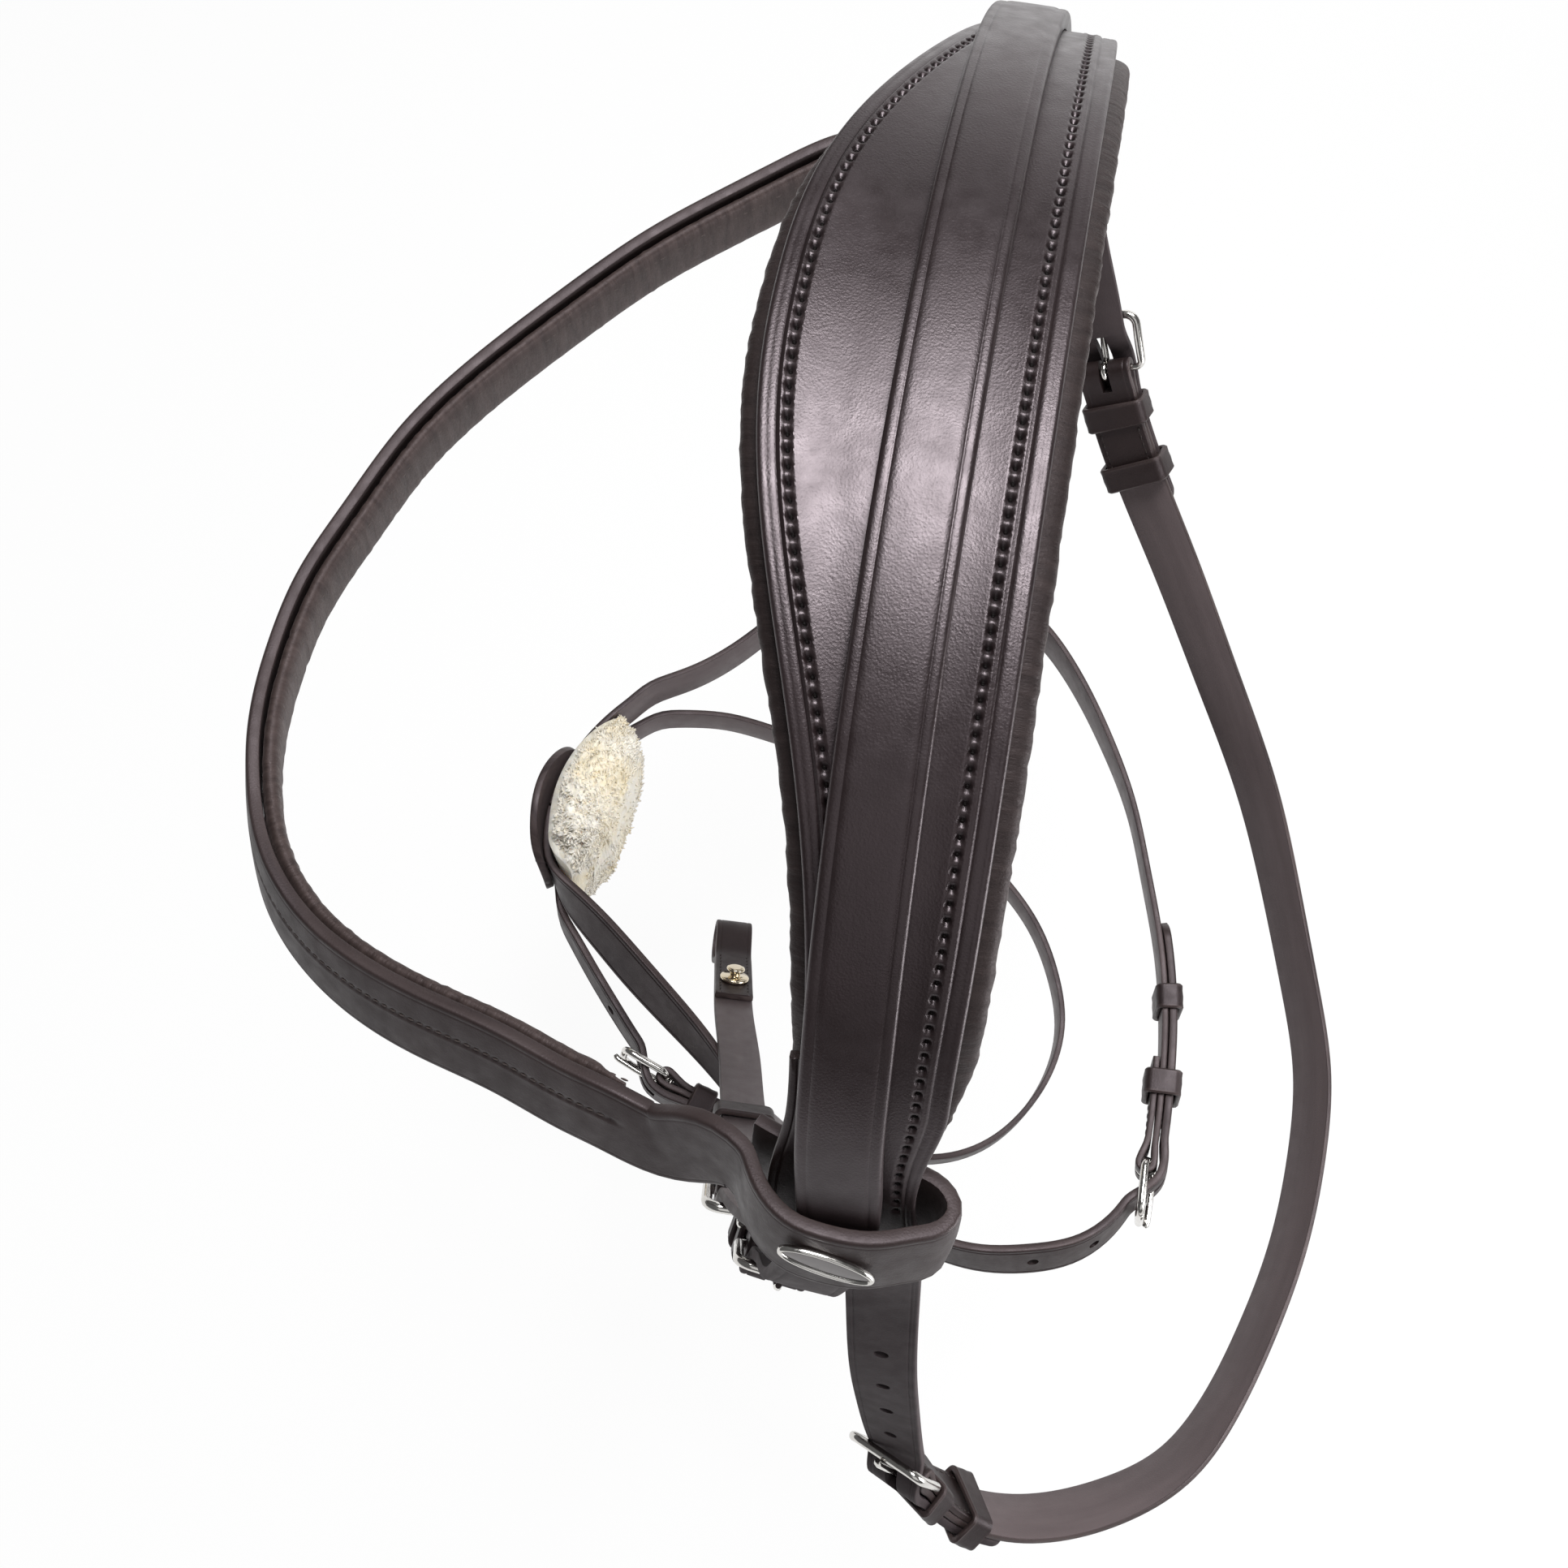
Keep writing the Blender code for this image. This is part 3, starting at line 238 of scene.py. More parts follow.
def leatherPaint(name, tone):
    # Grain and pores over a mottled dye, paler where the edges wear and on the flesh side.
    made = Nodes(name)
    place = made.coordinates["Object"]
    mottle = made.noise(place, 38, 5)
    streak = made.noise(made.stretch(made.coordinates["UV"], (30, 260, 1)), 1.0, 4)
    grain = made.noise(place, 2900, 3, 0.6)
    pores = made.add("ShaderNodeTexVoronoi", Scale=1900.0)
    made.link(place, pores.inputs["Vector"])
    dye = made.mix(made.span(mottle, 0.35, 0.7), tone["base"], tone["light"])
    rubbed = made.combine("MULTIPLY", made.span(made.attribute("edge"), 0.55, 1.0),
                          made.span(streak, 0.35, 0.65))
    worn = made.mix(rubbed, dye, tone["edge"])
    fleshDye = made.mix(made.span(streak, 0.3, 0.7), darker(tone["flesh"], 0.8), tone["flesh"])
    whole = made.mix(made.attribute("back"), worn, fleshDye)
    # Painted shade: the base colour is darkened in the stitch rows' pits. The leather is duller lower down.
    sunk = made.span(made.attribute("edge"), -0.8, -0.05, 1, 0)
    height = made.add("ShaderNodeSeparateXYZ")
    made.link(place, height.inputs[0])
    dull = made.span(height.outputs["Z"], -0.12, -0.05, tone["dull"], 0)
    polish = made.span(made.noise(place, 210, 4), 0.3, 0.7, *tone["rough"])
    fine = made.bump(pores.outputs["Distance"], 0.00008, 0.3)
    fine = made.bump(grain, 0.00008, 0.4, fine)
    return made.finished({
        "Base Color": made.mix(sunk, whole, darker(tone["base"], 0.3)),
        "Roughness": made.combine("ADD", polish, dull),
        "Coat Weight": tone["coat"], "Coat Roughness": 0.35,
        "Specular IOR Level": tone["shine"], "Specular Tint": (1.0, 0.87, 0.93, 1),
        "Normal": made.bump(streak, 0.0002, 0.25, fine)})


def liningPaint(name, base, light):
    # Soft padded leather with fine wrinkles that run across the strap. Its colour follows the wrinkles'
    # height, darker in their creases: painted shade.
    made = Nodes(name)
    place = made.coordinates["Object"]
    wrinkle = made.noise(made.stretch(made.coordinates["UV"], (420, 70, 1)), 1.0, 6, 0.6)
    fuzz = made.noise(place, 1900, 3, 0.7)
    return made.finished({
        "Base Color": made.mix(made.span(wrinkle, 0.35, 0.68), base, light),
        "Roughness": made.span(fuzz, 0.3, 0.7, 0.46, 0.64),
        "Sheen Weight": 0.05, "Sheen Tint": (1.0, 0.80, 0.78, 1), "Sheen Roughness": 0.4,
        "Specular IOR Level": 0.4, "Specular Tint": (1.0, 0.87, 0.90, 1),
        "Normal": made.bump(fuzz, 0.00016, 0.4, made.bump(wrinkle, 0.0009, 0.55))})


def threadPaint(name, base, shine=0.3):
    # Twisted thread, darker between its turns: painted shade in the grooves of the twist.
    made = Nodes(name)
    twist = made.add("ShaderNodeTexWave", Scale=900.0, Distortion=1.5)
    made.link(made.coordinates["Object"], twist.inputs["Vector"])
    return made.finished({
        "Base Color": made.mix(twist.outputs["Fac"], darker(base, 0.6), base),
        "Roughness": 0.6, "Specular IOR Level": shine,
        "Normal": made.bump(twist.outputs["Fac"], 0.0001, 0.5)})


def steelPaint(name, base=(0.74, 0.72, 0.69)):
    # Polished metal with faint rubbing marks.
    made = Nodes(name)
    place = made.coordinates["Object"]
    rub = made.noise(made.stretch(place, (1.0, 1.0, 0.25)), 900, 4)
    cloud = made.noise(place, 90, 3)
    return made.finished({
        "Base Color": made.mix(made.span(cloud, 0.3, 0.7), darker(base, 0.86), base), "Metallic": 1.0,
        "Roughness": made.span(rub, 0.3, 0.7, 0.10, 0.24), "Normal": made.bump(rub, 0.00003, 0.3)})


def fleecePaint(name):
    # Cream wool, warmer in streaks and between its locks.
    made = Nodes(name)
    place = made.coordinates["Object"]
    cloud = made.noise(place, 55, 4, 0.6)
    lock = made.noise(place, 420, 5, 0.65)
    wisp = made.noise(made.stretch(place, (1.0, 0.35, 1.0)), 2600, 3, 0.7)
    cream = made.mix(made.span(cloud, 0.42, 0.68), (0.94, 0.89, 0.79), (0.93, 0.81, 0.56))
    return made.finished({
        "Base Color": made.mix(made.span(lock, 0.30, 0.50, 0.7, 0.0), cream, (0.88, 0.78, 0.60)),
        "Roughness": 0.95,
        "Sheen Weight": 0.15, "Sheen Roughness": 0.6, "Sheen Tint": (1.0, 0.95, 0.85, 1),
        "Specular IOR Level": 0.05,
        "Subsurface Weight": 0.35, "Subsurface Radius": (1.0, 0.85, 0.65), "Subsurface Scale": 0.006,
        "Normal": made.bump(wisp, 0.0003, 0.5, made.bump(lock, 0.0010, 0.4))})


# Courses: a strap's middle line and the way its face looks

def unit(rows):
    return rows / np.linalg.norm(rows, axis=-1, keepdims=True)


def ease(value, start, end, low, high):
    # Goes softly from low to high between start and end.
    share = np.clip((value - start) / (end - start), 0, 1)
    return low + (high - low) * share * share * (3 - 2 * share)


def smoothCurve(knots, values, at):
    # Natural cubic spline, one column for each coordinate.
    count = len(knots)
    width = np.diff(knots)
    slope = np.diff(values, axis=0) / width[:, None]
    system = np.eye(count)
    right = np.zeros_like(values)
    for i in range(1, count - 1):
        system[i, i - 1:i + 2] = width[i - 1], 2 * (width[i - 1] + width[i]), width[i]
        right[i] = 6 * (slope[i] - slope[i - 1])
    bend = np.linalg.solve(system, right)
    cell = np.clip(np.searchsorted(knots, at) - 1, 0, count - 2)
    before = ((knots[cell + 1] - at) / width[cell])[:, None]
    after = 1 - before
    span = (width[cell] ** 2 / 6)[:, None]
    curved = (before ** 3 - before) * bend[cell] + (after ** 3 - after) * bend[cell + 1]
    return before * values[cell] + after * values[cell + 1] + span * curved


def swollen(value, power):
    # A circle's sine or cosine, squared off by a power below 1.
    return math.copysign(abs(value) ** power, value)


class Course:
    # A strap's middle line. Along it t runs with the strap, w across it and n out of its face.
    def __init__(self, points, faces, middle=None):
        points = np.array(points, float)
        points[:, 2] += layers["poll"]
        knots = np.r_[0, np.cumsum(np.linalg.norm(np.diff(points, axis=0), axis=1))]
        fine = np.linspace(0, knots[-1], int(knots[-1] * 2))
        self.place = smoothCurve(knots, points, fine)
        along = np.r_[0, np.cumsum(np.linalg.norm(np.diff(self.place, axis=0), axis=1))]
        self.marks = np.interp(knots, fine, along)
        shift = self.marks[middle] if middle is not None else 0
        self.along = along - shift
        self.marks = self.marks - shift
        self.t = unit(np.gradient(self.place, self.along, axis=0))
        face = smoothCurve(knots, unit(np.array(faces, float)), fine)
        self.n = unit(face - self.t * np.sum(face * self.t, axis=1)[:, None])
        self.w = np.cross(self.n, self.t)

    @property
    def end(self):
        return self.along[-1]

    def turned(self):
        # The same course walked the other way.
        other = object.__new__(Course)
        other.place, other.n = self.place[::-1], self.n[::-1]
        other.along, other.marks = -self.along[::-1], -self.marks[::-1]
        other.t, other.w = -self.t[::-1], -self.w[::-1]
        return other

    def read(self, rows, s):
        return np.stack([np.interp(s, self.along, rows[:, k]) for k in range(3)], axis=-1)

    def frame(self, s):
        s = np.asarray(s, float)
        beyond = s - np.clip(s, self.along[0], self.along[-1])
        place = self.read(self.place, s)
        t, w, n = (unit(self.read(rows, s)) for rows in (self.t, self.w, self.n))
        return place + t * beyond[..., None], t, w, n

    def at(self, s, a, h):
        place, _, w, n = self.frame(s)
        return place + w * np.asarray(a)[..., None] + n * np.asarray(h)[..., None]


# Meshes

def wrapGrid(name, rings, across=None, back=None, along=None, closed=False, angle=40):
    # A grid primitive, its points moved on to the rings, sewn along its seam and shut at its ends.
    rows, count = rings.shape[:2]
    deselectAll()
    bpy.ops.mesh.primitive_grid_add(x_subdivisions=count, y_subdivisions=rows - 1, size=1)
    piece = bpy.context.object
    piece.name = name
    mesh = piece.data
    mesh.name = name
    full = np.concatenate([rings, rings[:, :1]], axis=1) * mm
    mesh.vertices.foreach_set("co", full.reshape(-1))
    for key, values in (("edge", across), ("back", back)):
        field = mesh.attributes.new(key, "FLOAT", "POINT")
        if values is not None:
            values = np.broadcast_to(values, (rows, count))
            values = np.concatenate([values, values[:, :1]], axis=1)
            field.data.foreach_set("value", np.ascontiguousarray(values, dtype=np.float32).reshape(-1))
    if along is not None:
        index = np.zeros(len(mesh.loops), dtype=np.int32)
        mesh.loops.foreach_get("vertex_index", index)
        girth = np.linalg.norm(np.diff(full, axis=1), axis=2)
        sideways = np.concatenate([np.zeros((rows, 1)), np.cumsum(girth, axis=1)], axis=1)
        lengthways = np.repeat(np.asarray(along)[:, None] * mm, count + 1, axis=1)
        flat = np.stack([lengthways.reshape(-1), sideways.reshape(-1)], axis=1)[index]
        mesh.uv_layers[0].data.foreach_set("uv", flat.astype(np.float32).reshape(-1))
    bpy.ops.object.mode_set(mode="EDIT")
    bpy.ops.mesh.select_all(action="SELECT")
    bpy.ops.mesh.remove_doubles(threshold=2e-6)
    bpy.ops.mesh.select_mode(type="EDGE")
    if not closed:
        bpy.ops.mesh.select_all(action="DESELECT")
        bpy.ops.mesh.select_non_manifold(extend=False, use_wire=False, use_multi_face=False,
                                         use_non_contiguous=False, use_verts=False)
        bpy.ops.mesh.fill_holes(sides=0)
    bpy.ops.mesh.select_all(action="SELECT")
    bpy.ops.mesh.normals_make_consistent(inside=False)
    bpy.ops.object.mode_set(mode="OBJECT")
    bpy.ops.object.shade_smooth_by_angle(angle=math.radians(angle))
    return piece


def finishPiece(piece, paint, body, slot, *nodes):
    piece.data.materials.clear()
    piece.data.materials.append(paint)
    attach(piece, body)
    if nodes:
        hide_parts(*nodes)
    return piece


def applyModifier(piece, modifier):
    deselectAll()
    piece.select_set(True)
    bpy.context.view_layer.objects.active = piece
    bpy.ops.object.modifier_apply(modifier=modifier.name)


def cutThrough(piece, course, s, size, roundHole=False, height=0):
    # Cuts a slot or a round hole of size (along, across, deep) through a strap at s.
    place, t, w, n = course.frame(s)
    deselectAll()
    if roundHole:
        bpy.ops.mesh.primitive_cylinder_add(vertices=20, radius=size[0] / 2, depth=size[2])
    else:
        bpy.ops.mesh.primitive_cube_add(size=1)
        bpy.ops.transform.resize(value=size)
        bpy.ops.object.transform_apply(scale=True)
    cutter = bpy.context.object
    turn = Matrix((t, w, n)).transposed().to_4x4()
    cutter.data.transform(Matrix.Scale(mm, 4))
    cutter.data.transform(Matrix.Translation((place + n * height) * mm) @ turn)
    cut = piece.modifiers.new("cut", "BOOLEAN")
    cut.operation = "DIFFERENCE"
    cut.solver = "EXACT"
    cut.object = cutter
    applyModifier(piece, cut)
    bpy.ops.object.shade_smooth_by_angle(angle=math.radians(40))
    bpy.data.objects.remove(cutter)


def profile(low, high, look, pit=0.0):
    # A strap's section between low and high: its face, then its back, with edge and back shares.
    # pit is how deep the stitch rows lie here, from 0 to 1.
    half, rim, crease = look["thick"] / 2, look["round"], look.get("crease", 1.7)
    rise, slope, depth = look.get("rise", 0), look.get("slope", 0.7), look.get("depth", 0.2)
    fine, channel, rows = look.get("fine", 0), look.get("channel", 0), look.get("rows")
    insets = [0, 0.13 * rim, 0.45 * rim, rim]
    if fine:
        insets += [fine + v for v in (-0.3, 0, 0.3)]
    insets += [crease + v for v in (-0.5, -0.25, -0.1, 0, 0.1, 0.25, 0.5)]
    insets += [crease + slope * v for v in (0.6, 1.0, 1.6)]
    points, edges, backs = [], [], []
    room = (high - low) / 2

    def side(row):
        found = list(insets)
        if rows:
            found += [(row or crease + 4) + v for v in (-1.5, -1.1, -0.75, -0.4, 0, 0.4, 0.75, 1.1, 1.5)]
        found = np.maximum.accumulate(np.minimum(found, room * 0.93))
        return list(found + 0.012 * np.arange(len(found)))
    first, last = side(rows[0] if rows else 0), side(rows[1] if rows else 0)
    start, stop = low + first[-1], high - last[-1]
    places = [low + v for v in first] + [start + (stop - start) * v for v in (0.25, 0.5, 0.75)]
    places += [high - v for v in last[::-1]]
    for a in places:
        d = min(a - low, high - a)
        drop = rim - math.sqrt(max(rim ** 2 - max(rim - d, 0) ** 2, 0))
        groove = depth * math.exp(-((d - crease) / 0.2) ** 2)
        sunk = 0
        if fine:
            groove += 0.6 * depth * math.exp(-((d - fine) / 0.15) ** 2)
        if rows and (rows[0] if a - low < room else rows[1]):
            sewn = (a - low - rows[0]) if a - low < room else (high - a - rows[1])
            sunk = pit * math.exp(-(sewn / 0.62) ** 4)
            groove += channel * (sunk - 0.16 * math.exp(-((abs(sewn) - 1.2) / 0.35) ** 2))
        lift = float(ease(d, crease, crease + slope, 0, rise)) if rise else 0
        dome = look.get("dome", 0.1) * (1 - ((a - low - room) / room) ** 2)
        points.append((a, half - rise - drop - groove + lift + dome))
        # Deep stitch rows push the edge share below zero; the leather paint turns this into painted shade
        # in the pits.
        edges.append(math.exp(-d / 0.9) - (sunk if channel > 0.5 else 0))
        backs.append(0)
    under = 0.35
    for a, b in ((high, -half + under), (high - 0.1, -half + 0.1), (high - under, -half),
                 ((low + high) / 2, -half), (low + under, -half), (low + 0.1, -half + 0.1),
                 (low, -half + under)):
        points.append((a, b))
        edges.append(1.0 if min(a - low, high - a) < 0.2 else 0.3)
        backs.append(1.0 if b <= -half + 0.02 else 0.0)
    return np.array(points), np.array(edges), np.array(backs)


def pitAt(s, pitch):
    # Deep in the middle of each stitch, shallow between two of them.
    wave = 0.5 - 0.5 * math.cos(2 * math.pi * s / pitch)
    return 0.05 + 0.95 * wave ** 1.6


def layStrap(name, node, course, path, profileOf, ends=0.5, paint="leather"):
    # Sweeps a profile along (s, h) points; the cut ends are drawn in a little.
    path = np.array(path, float)
    step = np.gradient(path, axis=0)
    place, t, w, n = course.frame(path[:, 0])
    heading = unit(t * step[:, :1] + n * step[:, 1:])
    rise = np.cross(heading, w)
    rings, edges, backs = [], [], []
    for k, (s, h) in enumerate(path):
        points, edge, back = profileOf(s)
        rings.append(place[k] + n[k] * h + np.outer(points[:, 0], w[k]) + np.outer(points[:, 1], rise[k]))
        edges.append(edge)
        backs.append(back)
    rings = np.array(rings)
    for first, second in ((0, 1), (-1, -2)):
        centre = rings[first].mean(axis=0)
        away = unit(centre - rings[second].mean(axis=0))
        rim = centre + (rings[first] - centre) * 0.93
        where = 0 if first == 0 else len(rings)
        rings = np.insert(rings, where, rim + away * ends * 0.5, axis=0)
        edges.insert(where, np.ones(len(edges[0])))
        backs.insert(where, backs[first] * 0)
    travel = np.r_[0, np.cumsum(np.linalg.norm(np.diff(rings.mean(axis=1), axis=0), axis=1))]
    piece = wrapGrid(name, rings, np.array(edges), np.array(backs), travel)
    return finishPiece(piece, paints[paint], "bridle", "leather", node)


def spread(start, end, extra=(), step=leather["step"]):
    # Places from start to end, a step apart, with the extra ones let in.
    low, high = min(start, end), max(start, end)
    count = max(2, int(round((high - low) / step)) + 1)
    places = [p for p in np.linspace(low, high, count)
              if p in (low, high) or all(abs(p - e) > 0.7 for e in extra)]
    places = sorted(places + [e for e in extra if low + 0.3 < e < high - 0.3])
    return places if start < end else places[::-1]


def tubeAlong(name, points, radii, sides, closed=False):
    # A round bar through the points, carried without twist.
    points = np.array(points, float)
    radii = np.broadcast_to(radii, len(points))
    if closed:
        way = unit(np.roll(points, -1, axis=0) - np.roll(points, 1, axis=0))
    else:
        way = unit(np.gradient(points, axis=0))
    across = np.cross(way[0], (0.3, 0.5, 0.8))
    rings = []
    for k, place in enumerate(points):
        across = unit(across - way[k] * np.dot(across, way[k]))
        other = np.cross(way[k], across)
        turn = 2 * np.pi * np.arange(sides) / sides
        rings.append(place + radii[k] * (np.outer(np.cos(turn), across) + np.outer(np.sin(turn), other)))
    if closed:
        shift = int(np.argmin(np.linalg.norm(rings[0] - rings[-1][:1], axis=1)))
        rings.append(np.roll(rings[0], -shift, axis=0))
    return wrapGrid(name, np.array(rings), closed=closed, angle=60)


# Stitching: one bead, copied along a row

stitch = {"pitch": 3.4, "slant": 8}


def beadShape():
    deselectAll()
    bpy.ops.mesh.primitive_uv_sphere_add(segments=8, ring_count=5, radius=1)
    bead = bpy.context.object
    corners = np.array([v.co for v in bead.data.vertices])
    faces = [tuple(p.vertices) for p in bead.data.polygons]
    bpy.data.objects.remove(bead)
    corners = corners[:, [2, 0, 1]]
    return corners, faces


beadCorners, beadFaces = beadShape()


def outward(shape, faces):
    # A small closed body's faces, turned over where its volume would come out negative.
    corners = np.asarray(shape) - np.mean(shape, axis=0)
    fans = np.array([(f[0], f[k], f[k + 1]) for f in faces for k in range(1, len(f) - 1)])
    a, b, c = (corners[fans[:, k]] for k in range(3))
    if np.sum(a * np.cross(b, c)) < 0:
        return [f[::-1] for f in faces]
    return faces


def meshPiece(name, corners, faces, paint, slot, body="bridle"):
    mesh = bpy.data.meshes.new(name)
    mesh.from_pydata(np.array(corners) * mm, [], faces)
    piece = bpy.data.objects.new(name, mesh)
    bpy.context.collection.objects.link(piece)
    deselectAll()
    piece.select_set(True)
    bpy.context.view_layer.objects.active = piece
    bpy.ops.object.shade_smooth()
    return finishPiece(piece, paint, body, slot)


def sewRows(name, course, rows, paint, size=(2.5, 0.62, 0.42)):
    # Each row gives start, end, across(s), height(s), the side its face looks to, and its pitch.
    corners, faces = [], []
    for start, end, acrossOf, heightOf, side, pitch in rows:
        count = int((end - start) / pitch + 0.01)
        places = start + (np.arange(count) + 0.5) * (end - start) / count
        place, t, w, n = course.frame(places)
        slant = math.radians(stitch["slant"])
        long = t * math.cos(slant) + w * math.sin(slant)
        wide = -t * math.sin(slant) + w * math.cos(slant)
        for k, s in enumerate(places):
            centre = place[k] + w[k] * acrossOf(s) + n[k] * heightOf(s)
            shape = (beadCorners[:, :1] * long[k] * size[0] / 2 * pitch / stitch["pitch"]
                     + beadCorners[:, 1:2] * wide[k] * size[1] / 2
                     + beadCorners[:, 2:] * n[k] * side * size[2] / 2)
            first = len(corners)
            corners += list(centre + shape)
            faces += [tuple(first + v for v in face) for face in outward(shape, beadFaces)]
    return meshPiece(name, corners, faces, paint, "leather")


# Heights of the layers at a buckle, out of the strap's face

leg = leather["gap"] / 2 + leather["fold"] / 2
foldRadius = buckle["bar"] + leather["gap"] + leather["fold"] / 2
underFrame = buckle["rise"] - buckle["frame"] - leather["gap"] - leather["thick"] / 2
overBar = buckle["bar"] + 2 * leather["gap"] + leather["fold"] + leather["thick"] / 2 + 0.3
overStrap = leather["fold"] + leather["gap"] * 1.5 + leather["thick"] / 2
eyeRadius = buckle["bar"] + leather["gap"] + buckle["tongue"]
tipReach = 6.5


def billetHeight(s, bar):
    if s < bar:
        return float(ease(s, bar - buckle["length"] + 1, bar - 1, underFrame, overBar))
    return float(ease(s, bar + 1, bar + 10, overBar, overStrap))


def billetPath(start, bar, tip):
    close = [bar + 1.5 * k for k in range(-10, 8)]
    return [(s, billetHeight(s, bar)) for s in spread(start, tip, close)]


def tipPath(bar, tip):
    # Closer places where the end is cut to a point.
    return [(s, billetHeight(s, bar)) for s in
            (tip - tipReach * v for v in (1, 0.8, 0.6, 0.42, 0.28, 0.16, 0.07, 0.02))]


def inOrder(path):
    # Leaves out places that crowd the one before.
    path = sorted(set(path))
    return [p for k, p in enumerate(path) if k == 0 or p[0] - path[k - 1][0] > 0.08]


def bendRound(bar, radius, toward, steps=12):
    turns = [-math.pi / 2 + math.pi * k / steps for k in range(steps + 1)]
    return [(bar + toward * radius * math.cos(a), radius * math.sin(a)) for a in turns]


def legHeight(s, bar):
    return float(ease(s, bar, bar + 8, foldRadius, leg))


def chapePath(bar, far):
    close = [bar + 2 * k for k in range(1, 5)]
    rear = [(s, -legHeight(s, bar)) for s in spread(bar + buckle["chape"], bar, close)]
    ahead = [(s, legHeight(s, bar)) for s in spread(bar, far, close)]
    return rear[:-1] + bendRound(bar, foldRadius, -1) + ahead[1:]


def flip(path):
    return [(-s, h) for s, h in path][::-1]


def makeBuckle(name, course, bar, width, paint):
    # The heel bar is thinner; the tongue hangs from it by its eye and rests on the far end.
    place, t, w, n = course.frame(bar)
    half = width / 2 + buckle["sideRoom"] + buckle["frame"]
    outline, radii = [], []
    for k, (ahead, side) in enumerate(((1, 1), (-1, 1), (-1, -1), (1, -1))):
        corner = buckle["heelCorner"] if ahead == 1 else buckle["corner"]
        for step in range(9):
            turn = math.pi / 2 * (k + step / 8)
            s = ahead * (buckle["length"] / 2 - corner) + corner * math.cos(turn) - buckle["length"] / 2
            a = side * (half - corner) + corner * math.sin(turn)
            h = float(ease(-s, 0, buckle["length"], 0, buckle["rise"]))
            outline.append(place + t * s + w * a + n * h)
            radii.append(float(ease(-s, 0, 3, buckle["bar"], buckle["frame"])))
    ring = tubeAlong("frame_" + name, outline, np.array(radii), buckle["sides"], closed=True)
    finishPiece(ring, paint, "bridle", "steel", "buckle_" + name)
    turns = [math.radians(-170 + 260 * k / 20) for k in range(21)]
    flat = [(eyeRadius * math.cos(a), eyeRadius * math.sin(a)) for a in turns]
    rest = buckle["rise"] + buckle["frame"] + leather["gap"] + buckle["tongue"]
    far = -buckle["length"]
    climb = rest - eyeRadius
    flat += [(far * 0.3, eyeRadius + climb * 0.3), (far * 0.6, eyeRadius + climb * 0.65), (far - 0.2, rest),
             (far - 1.3, rest - 0.1), (far - 2.1, rest - 0.4)]
    radii = [buckle["tongue"]] * (len(flat) - 1) + [buckle["tongue"] * 0.72]
    tongue = tubeAlong("prong_" + name, [place + t * s + n * h for s, h in flat], np.array(radii), 10)
    finishPiece(tongue, paint, "tongue_" + name, "steel", "tongue_" + name)


def makeLoop(name, node, course, s, inner, paint, body):
    # A keeper: a strip of leather with rounded edges, closed round the straps.
    half, low, high = inner
    length, corner, middle = keeper["length"], keeper["corner"], keeper["wall"] / 2
    outline = []
    for k, (x, y) in enumerate(((half, high), (-half, high), (-half, low), (half, low))):
        for step in range(6):
            turn = math.pi / 2 * (k + step / 5)
            radius = corner + middle
            cx = x - math.copysign(corner, x)
            cy = y - corner if y == high else y + corner
            outline.append((cx + radius * math.cos(turn), cy + radius * math.sin(turn), turn))
    rings, edges = [], []
    strip = [(-length / 2 + 0.5, middle), (-length / 4, middle - 0.1), (0, middle + 0.04),
             (length / 4, middle - 0.1), (length / 2 - 0.5, middle), (length / 2, middle - 0.5),
             (length / 2, 0.4 - middle), (length / 2 - 0.3, -middle), (0.3 - length / 2, -middle),
             (-length / 2, 0.4 - middle), (-length / 2, middle - 0.5)]
    for x, y, turn in outline + outline[:1]:
        ring = []
        for along, out in strip:
            place, _, w, n = course.frame(s + along)
            ring.append(place + w * (x + math.cos(turn) * out) + n * (y + math.sin(turn) * out))
        rings.append(ring)
        edges.append([1 if abs(along) > length / 2 - 0.6 else 0.1 for along, _ in strip])
    travel = np.arange(len(rings)) * 2.0
    piece = wrapGrid(name, np.array(rings), np.array(edges), None, travel, closed=True)
    return finishPiece(piece, paint, body, "leather", node)


def makeKeepers(name, course, bar, held, width, paint):
    for kind, place, room in zip(("keeper_", "runner_"), held, (leather["gap"], keeper["room"])):
        turned = place < buckle["chape"] + keeper["travel"] + keeper["length"] / 2
        low = -leather["gap"] / 2 - leather["fold"] if turned else leather["gap"] / 2
        high = overStrap + leather["thick"] / 2
        inner = (width / 2 + room, low - room, high + room)
        body = "bridle" if kind == "keeper_" else kind + name
        makeLoop("loop_" + kind + name, kind + name, course, bar + place, inner, paint, body)


def openSlots(billet, strap, course, bar):
    cutThrough(billet, course, bar - cuts["slotBack"], cuts["slot"], height=2)
    cutThrough(strap, course, bar + 0.5, cuts["chapeSlot"])


def punchHoles(billet, course, bar, apart, count):
    for k in range(count):
        cutThrough(billet, course, bar - cuts["firstHole"] - apart * k, cuts["hole"], roundHole=True)


# The straps' looks, and profiles made from them

plain = {"thick": leather["thick"], "round": 0.6, "depth": 0.18, "dome": 0.08}
folded = {"thick": leather["fold"], "round": 0.5, "depth": 0.12, "dome": 0.05}


def evenProfile(width, look):
    shape = profile(-width / 2, width / 2, look)
    return lambda s: shape


def tipShare(s, tip):
    # The strap's end is cut to a rounded point: how much of its width is left.
    into = min(max(abs(s) - (tip - tipReach), 0) / tipReach, 1)
    return max(math.sqrt(1 - into ** 2), 0.3)


def tipProfile(width, look, tip):
    def at(s):
        half = width / 2 * tipShare(s, tip)
        return profile(-half, half, look)
    return at


def makeJoin(name, course, bar, held, width, billet, strap, frameWidth=None):
    # Everything at one buckle: the frame, the tongue, their slots, the two loops and the sewing.
    makeBuckle(name, course, bar, frameWidth or width, paints["steel"])
    openSlots(billet, strap, course, bar)
    makeKeepers(name, course, bar, held, width, paints["leather"])
    sewFold("stitches_" + name, course, bar, width)


